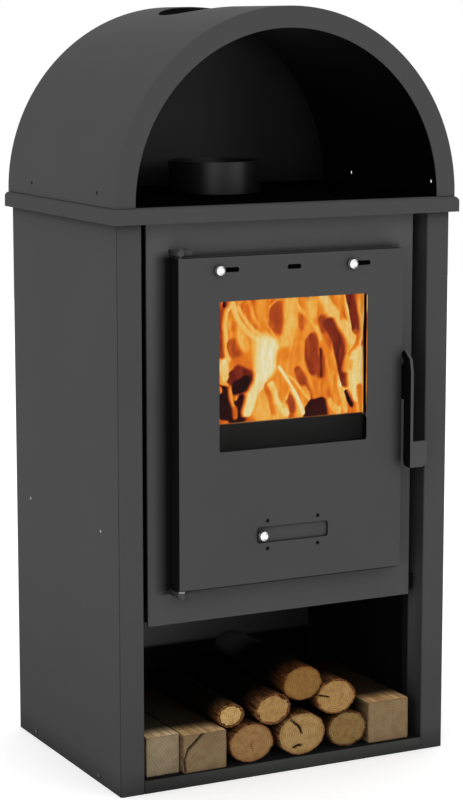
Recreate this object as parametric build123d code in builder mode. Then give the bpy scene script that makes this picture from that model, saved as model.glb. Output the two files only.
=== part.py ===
from build123d import *
import os
from math import cos, radians, sin, sqrt, tan

os.makedirs("parts", exist_ok=True)

# A wood stove with a log store below the firebox and a half-round hood above it.
# Frame: X to the viewer's right, Y to the back, Z up from the floor. The origin is
# the middle of the whole footprint. Depths are given from the casing's front face.

# Casing
width = 580.0
depth = 418.8
casing_top = 900.0
casing_sheet = 2.0
flange_width = 40.2
return_depth = 62.0
bend_radius = 2.5
rail_height = 20.4

# Top plate
plate_side_overhang = 10.4
plate_front_overhang = 13.3
plate_back_overhang = 4.6
plate_bottom = 884.2
plate_top = 908.7
plate_edge_radius = 8.0

# Hood
hood_radius = 295.4
hood_leg = 2.2
hood_front_overhang = 6.9
hood_back = 419.2
hood_ring_width = 32.9
hood_hole = 180.0
hood_foot_depths = (150.0, 385.0)
side_hole = 6.5
side_hole_depths = (61.7, 319.0)
side_hole_height = 19.3

# Flue collar
collar_diameter = 150.0
collar_wall = 5.0
collar_depth = 257.2
collar_top = 960.0
collar_flange = 188.0
collar_relief = 1.0
collar_seat = 911.0

# Firebox
panel_depth = 18.6
panel_width = 467.8
panel_bottom = 260.6
firebox_plate = 4.0
opening_width = 344.0
opening_bottom = 345.0
opening_top = 805.0
firebox_width = 450.0
firebox_back = 389.0
firebox_bottom = 302.0
firebox_top = 880.0
ash_floor = 346.0
shelf_top = 470.0
brick = 25.0
brick_top_back = 735.0
baffle_slope = 9.0
baffle_front = 112.0
baffle_thickness = 12.0

# Door
door_width = 392.6
door_bottom = 318.8
door_top = 831.6
door_proud = 16.0
door_back = 16.0
door_sheet = 3.0
window_centre = 2.0
window_width = 260.0
window_bottom = 530.6
window_top = 762.7
glass = 4.0
glass_lap = 12.0
inner_plate = 3.0
inner_plate_depth = 8.0
seal_gap = 0.3

# Hinge
pin_x = -191.0
pin_depth = -10.2
pin_radius = 3.0
running_gap = 0.05
lug_thickness = 8.1

# Air controls
wash_height = 811.0
slot_height = 7.5
wash_slots = ((-134.0, -94.3), (-10.6, 13.1), (96.8, 136.2))
wash_stems = (-130.0, 101.0)
knob_diameter = 14.6
knob_reach = 7.0
stem_radius = 3.0
primary_width = 126.0
primary_bottom = 381.5
primary_top = 407.0
primary_stem = -55.0
slide_gap = 0.4
slide_thickness = 3.0

# Handle
lever_left = 200.3
lever_thickness = 5.0
lever_pivot = (-8.0, 650.5)
hook_radius = 17.0
keeper_radius = 2.5
lever_reach = 37.0

half = width / 2
plate_back = depth + plate_back_overhang
front = -(plate_back - lever_reach) / 2
inside = half - casing_sheet
return_x = half - flange_width
hood_centre = plate_top + hood_leg
panel_back = panel_depth + firebox_plate
box_inside = firebox_width / 2 - firebox_plate
back_inside = firebox_back - firebox_plate
sides = (("left", -1), ("right", 1))


# Upright plane across the stove, at this depth behind the casing's front.
def facing(distance):
    return Plane.XZ.offset(-(front + distance))


def between(low, high):
    return (low + high) / 2


# Small fasteners and their holes are eight-sided, with six-sided screw heads.
def fastener(radius, mode=Mode.ADD):
    RegularPolygon(radius, 8, mode=mode)


def screw_top(radius):
    RegularPolygon(radius, 6)


# Casing: a floor tray, two folded side panels, a back panel and their fasteners.

tray_depths = (casing_sheet, depth - 2 * casing_sheet)
base_screw_depths = (82.8, 341.0)
base_screw_height = 12.3
screw_radius = 2.4

with BuildPart() as base_tray:
    with BuildSketch():
        with Locations((0, front + between(*tray_depths))):
            Rectangle(2 * inside, tray_depths[1] - tray_depths[0])
    extrude(amount=rail_height)
    chamfer(base_tray.edges().filter_by(Axis.Z), length=bend_radius)
    offset(amount=-casing_sheet, openings=base_tray.faces().sort_by(Axis.Z)[0])
    with BuildSketch(facing(0)):
        with Locations((0, rail_height / 2)):
            Rectangle(2 * return_x, rail_height)
    extrude(amount=-casing_sheet)
    for screw_depth in base_screw_depths:
        with BuildSketch(Plane.YZ):
            with Locations((front + screw_depth, base_screw_height)):
                fastener(screw_radius)
        extrude(amount=half, both=True, mode=Mode.SUBTRACT)
base_tray.part.label = "base_tray"
export_step(base_tray.part, "parts/base_tray.step")

back_flange = 22.0
tray_room = 4 * casing_sheet + 2 * bend_radius
for name, side in sides:
    with BuildPart() as side_panel:
        with BuildSketch():
            with BuildLine():
                FilletPolyline(
                    (side * (half - back_flange), front + depth - casing_sheet),
                    (side * half, front + depth - casing_sheet),
                    (side * half, front),
                    (side * return_x, front),
                    (side * return_x, front + return_depth),
                    radius=bend_radius,
                )
                offset(amount=casing_sheet, side=Side.LEFT if side < 0 else Side.RIGHT)
            make_face()
        extrude(amount=casing_top)
        with BuildSketch():
            with Locations((side * return_x, front + casing_sheet)):
                Rectangle(tray_room, return_depth, align=(Align.CENTER, Align.MIN))
            with Locations((side * (half - back_flange), front + depth)):
                Rectangle(2 * back_flange - 2 * casing_sheet, 3 * casing_sheet)
        extrude(amount=rail_height, mode=Mode.SUBTRACT)
        for screw_depth in base_screw_depths:
            with BuildSketch(Plane.YZ.offset(side * inside)):
                with Locations((front + screw_depth, base_screw_height)):
                    fastener(screw_radius)
            extrude(amount=side * 2 * casing_sheet, mode=Mode.SUBTRACT)
    side_panel.part.label = f"side_panel_{name}"
    export_step(side_panel.part, f"parts/side_panel_{name}.step")

panel_gap = 0.5
vent_rows = ((0, 760.0), (0, 330.0))
vent_pitch = (210.0, 20.0)
vent_size = (120.0, 7.0)
with BuildPart() as back_panel:
    with BuildSketch(facing(depth)):
        with Locations((0, casing_top / 2)):
            Rectangle(2 * (inside - panel_gap), casing_top)
        with Locations(*vent_rows):
            with GridLocations(*vent_pitch, 2, 4):
                Rectangle(*vent_size, mode=Mode.SUBTRACT)
    extrude(amount=casing_sheet)
back_panel.part.label = "back_panel"
export_step(back_panel.part, "parts/back_panel.step")

screw_head_radius = 4.5
screw_head = 2.0
screw_length = 8.0
with BuildPart() as base_screws:
    for name, side in sides:
        for screw_depth in base_screw_depths:
            with BuildSketch(Plane.YZ.offset(side * half)):
                with Locations((front + screw_depth, base_screw_height)):
                    screw_top(screw_head_radius)
            extrude(amount=side * screw_head)
            with BuildSketch(Plane.YZ.offset(side * half)):
                with Locations((front + screw_depth, base_screw_height)):
                    fastener(screw_radius)
            extrude(amount=-side * screw_length)
base_screws.part.label = "base_screws"
export_step(base_screws.part, "parts/base_screws.step")

back_screw_heights = (60.0, 320.0, 580.0, 860.0)
with BuildPart() as back_screws:
    for name, side in sides:
        for screw_height in back_screw_heights:
            with BuildSketch(facing(depth)):
                with Locations((side * (half - back_flange / 2), screw_height)):
                    screw_top(screw_head_radius)
            extrude(amount=-screw_head)
back_screws.part.label = "back_screws"
export_step(back_screws.part, "parts/back_screws.step")

# Two angles inside the side panels carry the top plate above the folded edges.

rail_leg = 24.0
rail_start = 68.0
rail_length = 338.8
top_under = plate_top - casing_sheet
with BuildPart() as top_rails:
    for name, side in sides:
        inward = (Align.MAX if side > 0 else Align.MIN, Align.MAX)
        with BuildSketch(facing(rail_start)):
            with Locations((side * inside, top_under)):
                Rectangle(rail_leg, rail_leg, align=inward)
            with Locations((side * (inside - casing_sheet), top_under - casing_sheet)):
                Rectangle(rail_leg, rail_leg, align=inward, mode=Mode.SUBTRACT)
        extrude(amount=-rail_length)
top_rails.part.label = "top_rails"
export_step(top_rails.part, "parts/top_rails.step")

collar_gap = 0.5
with BuildPart() as top_plate:
    with BuildSketch(Plane.XY.offset(plate_bottom)):
        with Locations((0, front + between(-plate_front_overhang, plate_back))):
            Rectangle(width + 2 * plate_side_overhang, plate_back + plate_front_overhang)
    extrude(amount=plate_top - plate_bottom)
    fillet(top_plate.faces().sort_by(Axis.Z)[-1].edges(), radius=plate_edge_radius)
    offset(amount=-casing_sheet, openings=top_plate.faces().sort_by(Axis.Z)[0])
    with BuildSketch(Plane.XY.offset(plate_top)):
        with Locations((0, front + collar_depth)):
            Circle(collar_diameter / 2 + collar_gap)
    extrude(amount=-2 * casing_sheet, mode=Mode.SUBTRACT)
top_plate.part.label = "top_plate"
export_step(top_plate.part, "parts/top_plate.step")

# Hood: a rolled shell, a flat ring welded to its front edge and a back plate inside it.

ring_front = -hood_front_overhang
shell_front = ring_front + casing_sheet
shell_inside = hood_radius - casing_sheet


def arch(radius, mode=Mode.ADD):
    with Locations((0, hood_centre)):
        Circle(radius, mode=mode)
    with Locations((0, plate_top)):
        Rectangle(2 * radius, hood_leg, align=(Align.CENTER, Align.MIN), mode=mode)


def trim_below(height):
    with Locations((0, height)):
        Rectangle(width * 2, width, align=(Align.CENTER, Align.MAX), mode=Mode.SUBTRACT)


with BuildPart() as hood_shell:
    with BuildSketch(facing(shell_front)):
        arch(hood_radius)
        arch(shell_inside, Mode.SUBTRACT)
        trim_below(plate_top)
    extrude(amount=-(hood_back - shell_front))
    with BuildSketch(Plane.XY.offset(hood_centre)):
        with Locations((0, front + collar_depth)):
            Circle(hood_hole / 2)
    extrude(amount=width, mode=Mode.SUBTRACT)
    with BuildSketch(Plane.YZ):
        for hole_depth in side_hole_depths:
            with Locations((front + hole_depth, plate_top + side_hole_height)):
                fastener(side_hole / 2)
    extrude(amount=width, both=True, mode=Mode.SUBTRACT)
hood_shell.part.label = "hood_shell"
export_step(hood_shell.part, "parts/hood_shell.step")

with BuildPart() as hood_front_ring:
    with BuildSketch(facing(ring_front)):
        arch(hood_radius)
        arch(hood_radius - hood_ring_width, Mode.SUBTRACT)
        trim_below(plate_top)
    extrude(amount=-casing_sheet)
hood_front_ring.part.label = "hood_front_ring"
export_step(hood_front_ring.part, "parts/hood_front_ring.step")

with BuildPart() as hood_back_plate:
    with BuildSketch(facing(hood_back)):
        arch(shell_inside)
        trim_below(plate_top)
    extrude(amount=casing_sheet)
hood_back_plate.part.label = "hood_back_plate"
export_step(hood_back_plate.part, "parts/hood_back_plate.step")

foot_length = 30.0
foot_leg = 16.0
foot_gap = 0.6
foot_x = shell_inside - foot_gap
foot_screw_inset = 6.0
foot_screw_x = foot_x - foot_leg + foot_screw_inset
with BuildPart() as hood_feet:
    for name, side in sides:
        for foot_depth in hood_foot_depths:
            with BuildSketch(facing(foot_depth - foot_length / 2)):
                with BuildLine():
                    Polyline(
                        (side * foot_x, plate_top + foot_leg),
                        (side * foot_x, plate_top),
                        (side * (foot_x - foot_leg), plate_top),
                        (side * (foot_x - foot_leg), plate_top + casing_sheet),
                        (side * (foot_x - casing_sheet), plate_top + casing_sheet),
                        (side * (foot_x - casing_sheet), plate_top + foot_leg),
                        close=True,
                    )
                make_face()
            extrude(amount=-foot_length)
hood_feet.part.label = "hood_feet"
export_step(hood_feet.part, "parts/hood_feet.step")

with BuildPart() as hood_screws:
    for name, side in sides:
        for foot_depth in hood_foot_depths:
            with BuildSketch(Plane.XY.offset(plate_top + casing_sheet)):
                with Locations((side * foot_screw_x, front + foot_depth)):
                    screw_top(screw_head_radius)
            extrude(amount=screw_head)
hood_screws.part.label = "hood_screws"
export_step(hood_screws.part, "parts/hood_screws.step")

collar_outside = collar_diameter / 2
collar_inside = collar_outside - collar_wall
collar_neck = collar_outside - collar_relief
with BuildPart() as flue_collar:
    with BuildSketch(facing(collar_depth)):
        with BuildLine():
            Polyline(
                (collar_inside, firebox_top),
                (collar_flange / 2, firebox_top),
                (collar_flange / 2, firebox_top + collar_wall),
                (collar_neck, firebox_top + collar_wall),
                (collar_neck, collar_seat),
                (collar_outside, collar_seat),
                (collar_outside, collar_top),
                (collar_inside, collar_top),
                close=True,
            )
        make_face()
    revolve(axis=Axis((0, front + collar_depth, 0), (0, 0, 1)))
flue_collar.part.label = "flue_collar"
export_step(flue_collar.part, "parts/flue_collar.step")

# Firebox: a front plate with the door opening, and a welded box behind it.

with BuildPart() as firebox_front:
    with BuildSketch(facing(panel_depth)):
        with Locations((0, between(panel_bottom, plate_bottom))):
            Rectangle(panel_width, plate_bottom - panel_bottom)
        with Locations((0, between(opening_bottom, opening_top))):
            Rectangle(opening_width, opening_top - opening_bottom, mode=Mode.SUBTRACT)
    extrude(amount=-firebox_plate)
firebox_front.part.label = "firebox_front"
export_step(firebox_front.part, "parts/firebox_front.step")

with BuildPart() as firebox_wrap:
    with BuildSketch(Plane.XY.offset(firebox_bottom)):
        with Locations((0, front + panel_back)):
            Rectangle(firebox_width, firebox_back - panel_back, align=(Align.CENTER, Align.MIN))
            Rectangle(
                2 * box_inside,
                back_inside - panel_back,
                align=(Align.CENTER, Align.MIN),
                mode=Mode.SUBTRACT,
            )
    extrude(amount=firebox_top - firebox_plate - firebox_bottom)
firebox_wrap.part.label = "firebox_wrap"
export_step(firebox_wrap.part, "parts/firebox_wrap.step")

with BuildPart() as firebox_top_plate:
    with BuildSketch(Plane.XY.offset(firebox_top)):
        with Locations((0, front + panel_back)):
            Rectangle(firebox_width, firebox_back - panel_back, align=(Align.CENTER, Align.MIN))
        with Locations((0, front + collar_depth)):
            Circle(collar_inside, mode=Mode.SUBTRACT)
    extrude(amount=-firebox_plate)
firebox_top_plate.part.label = "firebox_top_plate"
export_step(firebox_top_plate.part, "parts/firebox_top_plate.step")

with BuildPart() as ash_floor_plate:
    with BuildSketch(Plane.XY.offset(ash_floor)):
        with Locations((0, front + panel_back)):
            Rectangle(2 * box_inside, back_inside - panel_back, align=(Align.CENTER, Align.MIN))
    extrude(amount=-firebox_plate)
ash_floor_plate.part.label = "ash_floor_plate"
export_step(ash_floor_plate.part, "parts/ash_floor_plate.step")

grate_size = (240.0, 200.0)
grate_thickness = 12.0
grate_ledge = 10.0
grate_depth = 195.0
grate_slot = (10.0, 150.0)
grate_pitch = 22.0
with BuildPart() as grate_shelf:
    with BuildSketch(Plane.XY.offset(shelf_top)):
        with Locations((0, front + panel_back)):
            Rectangle(2 * box_inside, back_inside - panel_back, align=(Align.CENTER, Align.MIN))
        with Locations((0, front + grate_depth)):
            Rectangle(
                grate_size[0] - 2 * grate_ledge,
                grate_size[1] - 2 * grate_ledge,
                mode=Mode.SUBTRACT,
            )
    extrude(amount=-firebox_plate)
grate_shelf.part.label = "grate_shelf"
export_step(grate_shelf.part, "parts/grate_shelf.step")

with BuildPart() as fire_grate:
    with BuildSketch(Plane.XY.offset(shelf_top)):
        with Locations((0, front + grate_depth)):
            Rectangle(*grate_size)
            with GridLocations(grate_pitch, 0, 9, 1):
                Rectangle(*grate_slot, mode=Mode.SUBTRACT)
    extrude(amount=grate_thickness)
fire_grate.part.label = "fire_grate"
export_step(fire_grate.part, "parts/fire_grate.step")

floor_brick = 20.0
brick_front = 24.0
brick_back = back_inside - brick
brick_gap = 1.0
with BuildPart() as floor_bricks:
    with BuildSketch(Plane.XY.offset(shelf_top)):
        with Locations((0, front + between(brick_front, brick_back))):
            Rectangle(2 * (box_inside - brick) - brick_gap, brick_back - brick_front - brick_gap)
        with Locations((0, front + grate_depth)):
            Rectangle(grate_size[0] + brick_gap, grate_size[1] + brick_gap, mode=Mode.SUBTRACT)
            with Locations((-box_inside, 0), (box_inside, 0)):
                Rectangle(2 * box_inside - grate_size[0], brick_gap, mode=Mode.SUBTRACT)
    extrude(amount=floor_brick)
floor_bricks.part.label = "floor_bricks"
export_step(floor_bricks.part, "parts/floor_bricks.step")

slope = tan(radians(baffle_slope))


def slope_height(distance):
    return brick_top_back + (brick_back - distance) * slope


for name, side in sides:
    with BuildPart() as side_brick:
        with BuildSketch(Plane.YZ.offset(side * (box_inside - brick))):
            with BuildLine():
                Polyline(
                    (front + brick_front, shelf_top),
                    (front + back_inside, shelf_top),
                    (front + back_inside, slope_height(back_inside)),
                    (front + brick_front, slope_height(brick_front)),
                    close=True,
                )
            make_face()
        extrude(amount=side * brick)
    side_brick.part.label = f"side_brick_{name}"
    export_step(side_brick.part, f"parts/side_brick_{name}.step")

with BuildPart() as back_bricks:
    with BuildSketch(facing(brick_back)):
        for name, side in sides:
            with Locations((side * (box_inside - brick) / 2, shelf_top)):
                Rectangle(
                    box_inside - brick - brick_gap,
                    slope_height(back_inside) - shelf_top,
                    align=(Align.CENTER, Align.MIN),
                )
    extrude(amount=-brick)
back_bricks.part.label = "back_bricks"
export_step(back_bricks.part, "parts/back_bricks.step")

with BuildPart() as baffle_plate:
    with BuildSketch(Plane.YZ.offset(-(box_inside - brick_gap))):
        with BuildLine():
            Polyline(
                (front + baffle_front, slope_height(baffle_front)),
                (front + back_inside, slope_height(back_inside)),
                (front + back_inside, slope_height(back_inside) + baffle_thickness),
                (front + baffle_front, slope_height(baffle_front) + baffle_thickness),
                close=True,
            )
        make_face()
    extrude(amount=2 * (box_inside - brick_gap))
baffle_plate.part.label = "baffle_plate"
export_step(baffle_plate.part, "parts/baffle_plate.step")

retainer_top = 566.5
retainer_front = 27.0
retainer_foot = 30.0
retainer_width = 384.0
retainer_sheet = 3.0
retainer_bend = 4.0
with BuildPart() as log_retainer:
    with BuildSketch(Plane.YZ.offset(-retainer_width / 2)):
        with BuildLine():
            FilletPolyline(
                (front + retainer_front, retainer_top),
                (front + retainer_front, shelf_top + floor_brick),
                (front + retainer_front + retainer_foot, shelf_top + floor_brick),
                radius=retainer_bend,
            )
            offset(amount=retainer_sheet, side=Side.LEFT)
        make_face()
    extrude(amount=retainer_width)
log_retainer.part.label = "log_retainer"
export_step(log_retainer.part, "parts/log_retainer.step")

pan_size = (280.0, 284.0, 86.0)
pan_front = 44.0
pan_wall = 1.5
pan_corner = 3.0
pan_tab = (90.0, 16.0)
with BuildPart() as ash_pan:
    with BuildSketch(Plane.XY.offset(ash_floor)):
        with Locations((0, front + pan_front)):
            Rectangle(pan_size[0], pan_size[1], align=(Align.CENTER, Align.MIN))
    extrude(amount=pan_size[2])
    chamfer(ash_pan.edges().filter_by(Axis.Z), length=pan_corner)
    offset(amount=-pan_wall, openings=ash_pan.faces().sort_by(Axis.Z)[-1])
    with BuildSketch(Plane.XY.offset(ash_floor + pan_size[2] - pan_wall)):
        with Locations((0, front + pan_front)):
            Rectangle(*pan_tab, align=(Align.CENTER, Align.MAX))
    extrude(amount=pan_wall)
ash_pan.part.label = "ash_pan"
export_step(ash_pan.part, "parts/ash_pan.step")

# Two channels on the side panels carry the firebox and, below it, the heat shield.

channel_bottom = 262.0
channel_sheet = 2.0
channel_start = 66.0
channel_end = 412.8
top_reach = 200.0
bottom_reach = 235.0
for name, side in sides:
    with BuildPart() as firebox_rail:
        with BuildSketch(facing(channel_start)):
            with BuildLine():
                Polyline(
                    (side * inside, channel_bottom),
                    (side * inside, firebox_bottom),
                    (side * top_reach, firebox_bottom),
                    (side * top_reach, firebox_bottom - channel_sheet),
                    (side * (inside - channel_sheet), firebox_bottom - channel_sheet),
                    (side * (inside - channel_sheet), channel_bottom + channel_sheet),
                    (side * bottom_reach, channel_bottom + channel_sheet),
                    (side * bottom_reach, channel_bottom),
                    close=True,
                )
            make_face()
        extrude(amount=-(channel_end - channel_start))
    firebox_rail.part.label = f"firebox_rail_{name}"
    export_step(firebox_rail.part, f"parts/firebox_rail_{name}.step")

shield_front = 30.0
shield_lip_top = 290.0
shield_gap = 1.0
shield_half = return_x - shield_gap
with BuildPart() as store_heat_shield:
    with BuildSketch(Plane.YZ.offset(-shield_half)):
        with BuildLine():
            FilletPolyline(
                (front + channel_end, channel_bottom + channel_sheet),
                (front + shield_front, channel_bottom + channel_sheet),
                (front + shield_front, shield_lip_top),
                radius=bend_radius,
            )
            offset(amount=casing_sheet, side=Side.RIGHT)
        make_face()
    extrude(amount=2 * shield_half)
store_heat_shield.part.label = "store_heat_shield"
export_step(store_heat_shield.part, "parts/store_heat_shield.step")

# Hinge: two lugs welded to the front plate hold the pins that the door turns on.

lug_left = -197.0
lug_right = -168.7
lug_front = -8.0
lug_eye = 6.0
lug_gap = 3.3
bottom_lug_lift = 1.0
pin_into_door = 18.0
pin_head = 3.0
pin_head_radius = 4.6
lug_bottoms = (door_top + lug_gap, door_bottom - lug_gap - lug_thickness + bottom_lug_lift)


def pin_circle(radius, mode=Mode.ADD):
    with Locations((pin_x, front + pin_depth)):
        Circle(radius, mode=mode)


def pin_polygon(radius, corners):
    with Locations((pin_x, front + pin_depth)):
        RegularPolygon(radius, corners)


with BuildPart() as hinge_lugs:
    for lug_bottom in lug_bottoms:
        with BuildSketch(Plane.XY.offset(lug_bottom)):
            with Locations((between(lug_left, lug_right), front + panel_depth)):
                Rectangle(lug_right - lug_left, panel_depth - lug_front, align=(Align.CENTER, Align.MAX))
            pin_polygon(lug_eye, 16)
            pin_circle(pin_radius, Mode.SUBTRACT)
        extrude(amount=lug_thickness)
hinge_lugs.part.label = "hinge_lugs"
export_step(hinge_lugs.part, "parts/hinge_lugs.step")

top_lug_top = lug_bottoms[0] + lug_thickness
bottom_lug_bottom = lug_bottoms[1]
with BuildPart() as hinge_pins:
    with BuildSketch(Plane.XY.offset(top_lug_top + pin_head)):
        pin_circle(pin_radius)
    extrude(amount=-(top_lug_top + pin_head - door_top + pin_into_door))
    with BuildSketch(Plane.XY.offset(top_lug_top)):
        pin_polygon(pin_head_radius, 8)
    extrude(amount=pin_head)
    with BuildSketch(Plane.XY.offset(bottom_lug_bottom - pin_head)):
        pin_circle(pin_radius)
    extrude(amount=door_bottom + pin_into_door - bottom_lug_bottom + pin_head)
    with BuildSketch(Plane.XY.offset(bottom_lug_bottom)):
        pin_polygon(pin_head_radius, 8)
    extrude(amount=-pin_head)
hinge_pins.part.label = "hinge_pins"
export_step(hinge_pins.part, "parts/hinge_pins.step")

washer_bottom = bottom_lug_bottom + lug_thickness
with BuildPart() as hinge_washer:
    with BuildSketch(Plane.XY.offset(washer_bottom)):
        pin_polygon(lug_eye, 12)
        pin_circle(pin_radius, Mode.SUBTRACT)
    extrude(amount=door_bottom - seal_gap - washer_bottom)
hinge_washer.part.label = "hinge_washer"
export_step(hinge_washer.part, "parts/hinge_washer.step")

# Door: a deep folded pan with the window, the air slots and the two bored corners.

door_height = door_top - door_bottom
door_middle = between(door_bottom, door_top)
door_inside_x = door_width / 2 - door_sheet
sheet_back = -door_proud + door_sheet
window_middle = between(window_bottom, window_top)
window_height = window_top - window_bottom
primary_middle = between(primary_bottom, primary_top)
rivet_x = 44.5
rivet_radius = 2.0
rivet_rise = 22.1
rivet_heights = (primary_middle - rivet_rise, primary_middle + rivet_rise)
bush_size = 12.0
bush_height = 24.0
clip_x = 100.0
clip_screw_drop = 8.0
clip_heights = (window_bottom - glass_lap - clip_screw_drop, window_top + glass_lap + clip_screw_drop)
door_edge = 1.0
slot_end = 2.0
window_corner = 4.0
cutout_corner = 5.0
pivot_radius = 4.0

with BuildPart() as door_front:
    with BuildSketch(facing(door_back)):
        with Locations((0, door_middle)):
            Rectangle(door_width, door_height)
    extrude(amount=door_back + door_proud)
    chamfer(door_front.faces().sort_by(Axis.Y)[0].edges(), length=door_edge)
    with BuildSketch(facing(door_back)):
        with Locations((0, door_middle)):
            Rectangle(2 * door_inside_x, door_height - 2 * door_sheet)
    extrude(amount=door_back + door_proud - door_sheet, mode=Mode.SUBTRACT)
    with BuildSketch(facing(-door_proud)):
        with Locations((window_centre, window_middle)):
            RectangleRounded(window_width, window_height, window_corner)
        with Locations((0, primary_middle)):
            RectangleRounded(primary_width, primary_top - primary_bottom, cutout_corner)
        for rivet_height in rivet_heights:
            with Locations((-rivet_x, rivet_height), (rivet_x, rivet_height)):
                fastener(rivet_radius)
    extrude(amount=-door_sheet, mode=Mode.SUBTRACT)
    with BuildSketch(facing(-door_proud)) as air_slots:
        for slot_left, slot_right in wash_slots:
            with Locations((between(slot_left, slot_right), wash_height)):
                Rectangle(slot_right - slot_left, slot_height)
        chamfer(air_slots.vertices(), length=slot_end)
    extrude(amount=-door_sheet, mode=Mode.SUBTRACT)
    with BuildSketch(Plane.YZ.offset(door_width / 2)):
        with Locations((front + lever_pivot[0], lever_pivot[1])):
            Circle(pivot_radius)
    extrude(amount=-door_sheet, mode=Mode.SUBTRACT)
    with BuildSketch(Plane.XY.offset(door_bottom)):
        pin_circle(pin_radius + running_gap)
    extrude(amount=door_height, mode=Mode.SUBTRACT)
door_front.part.label = "door_front"
export_step(door_front.part, "parts/door_front.step")

with BuildPart() as hinge_bushes:
    for bush_bottom in (door_bottom + door_sheet, door_top - door_sheet - bush_height):
        with BuildSketch(Plane.XY.offset(bush_bottom)):
            with Locations((-door_inside_x, front + sheet_back)):
                Rectangle(bush_size, bush_size, align=(Align.MIN, Align.MIN))
            pin_circle(pin_radius + running_gap, Mode.SUBTRACT)
        extrude(amount=bush_height)
hinge_bushes.part.label = "hinge_bushes"
export_step(hinge_bushes.part, "parts/hinge_bushes.step")

seal_rib = 2.0
seal_width = 10.0
seal_inset = 1.0
seal_outside = door_inside_x - seal_inset
rib_outside = seal_outside - seal_width
inner_back = inner_plate_depth + inner_plate
inner_window = (274.0, 246.0)
inlet_size = (116.0, 24.0)
seal_height = door_height - 2 * (door_sheet + seal_inset)
seal_corner = 3.0
with BuildPart() as door_inner_plate:
    with BuildSketch(facing(inner_plate_depth)):
        with Locations((0, door_middle)):
            Rectangle(2 * door_inside_x, door_height - 2 * door_sheet)
        with Locations((window_centre, window_middle)):
            Rectangle(*inner_window, mode=Mode.SUBTRACT)
        with Locations((0, primary_middle)):
            Rectangle(*inlet_size, mode=Mode.SUBTRACT)
    extrude(amount=-inner_plate)
    with BuildSketch(facing(inner_back)):
        with Locations((0, door_middle)):
            Rectangle(2 * rib_outside, seal_height - 2 * seal_width)
            Rectangle(
                2 * (rib_outside - seal_rib),
                seal_height - 2 * (seal_width + seal_rib),
                mode=Mode.SUBTRACT,
            )
    extrude(amount=-(door_back - inner_back))
door_inner_plate.part.label = "door_inner_plate"
export_step(door_inner_plate.part, "parts/door_inner_plate.step")

with BuildPart() as door_rope_seal:
    with BuildSketch(facing(inner_back)):
        with Locations((0, door_middle)):
            Rectangle(2 * seal_outside, seal_height)
            Rectangle(2 * rib_outside, seal_height - 2 * seal_width, mode=Mode.SUBTRACT)
    extrude(amount=-(panel_depth - seal_gap - inner_back))
    chamfer(door_rope_seal.faces().sort_by(Axis.Y)[-1].outer_wire().edges(), length=seal_corner)
door_rope_seal.part.label = "door_rope_seal"
export_step(door_rope_seal.part, "parts/door_rope_seal.step")

gasket = 2.0
gasket_gap = 2.0
with BuildPart() as glass_gasket:
    with BuildSketch(facing(sheet_back)):
        with Locations((window_centre, window_middle)):
            Rectangle(window_width + 2 * glass_lap, window_height + 2 * glass_lap)
            Rectangle(window_width + 2 * gasket_gap, window_height + 2 * gasket_gap, mode=Mode.SUBTRACT)
    extrude(amount=-gasket)
glass_gasket.part.label = "glass_gasket"
export_step(glass_gasket.part, "parts/glass_gasket.step")

glass_front = sheet_back + gasket
with BuildPart() as door_glass:
    with BuildSketch(facing(glass_front)):
        with Locations((window_centre, window_middle)):
            Rectangle(window_width + 2 * glass_lap, window_height + 2 * glass_lap)
    extrude(amount=-glass)
door_glass.part.label = "door_glass"
export_step(door_glass.part, "parts/door_glass.step")

clip_size = (34.0, 26.0)
clip_sheet = 2.0
clip_screw_head = 2.0
glass_back = glass_front + glass
with BuildPart() as glass_clips:
    with BuildSketch(facing(glass_back)):
        for clip_height in clip_heights:
            with Locations((-clip_x, clip_height), (clip_x, clip_height)):
                Rectangle(*clip_size)
                fastener(rivet_radius, Mode.SUBTRACT)
    extrude(amount=-clip_sheet)
glass_clips.part.label = "glass_clips"
export_step(glass_clips.part, "parts/glass_clips.step")

with BuildPart() as clip_screws:
    with BuildSketch(facing(sheet_back)):
        for clip_height in clip_heights:
            with Locations((-clip_x, clip_height), (clip_x, clip_height)):
                fastener(rivet_radius)
    extrude(amount=-(glass_back + clip_sheet - sheet_back))
    with BuildSketch(facing(glass_back + clip_sheet)):
        for clip_height in clip_heights:
            with Locations((-clip_x, clip_height), (clip_x, clip_height)):
                screw_top(2 * rivet_radius)
    extrude(amount=-clip_screw_head)
clip_screws.part.label = "clip_screws"
export_step(clip_screws.part, "parts/clip_screws.step")

# Air controls: each slide is a flat bar that runs behind the door's sheet in two guides.

bar_front = sheet_back + slide_gap
bar_back = bar_front + slide_thickness
guide_back = bar_back + slide_gap
guide_lip = 2.0
lip_overlap = 3.0


def guide_pair(middle, bar_height, height, left, right):
    for way in (-1, 1):
        bar_edge = middle + way * (bar_height / 2 + slide_gap)
        outward = Align.MIN if way > 0 else Align.MAX
        with BuildSketch(Plane.YZ.offset(left)) as section:
            with Locations((front + sheet_back, bar_edge)):
                Rectangle(guide_back + guide_lip - sheet_back, height, align=(Align.MIN, outward))
            with Locations((front + guide_back, bar_edge - way * lip_overlap)):
                Rectangle(guide_lip, lip_overlap, align=(Align.MIN, outward))
        extrude(section.sketch, amount=right - left)


wash_bar_height = 18.0
wash_bar = (-166.0, 142.0)
wash_guide = (-168.0, 176.0)
wash_guide_height = 6.0
with BuildPart() as air_wash_guides:
    guide_pair(wash_height, wash_bar_height, wash_guide_height, *wash_guide)
air_wash_guides.part.label = "air_wash_guides"
export_step(air_wash_guides.part, "parts/air_wash_guides.step")

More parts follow.
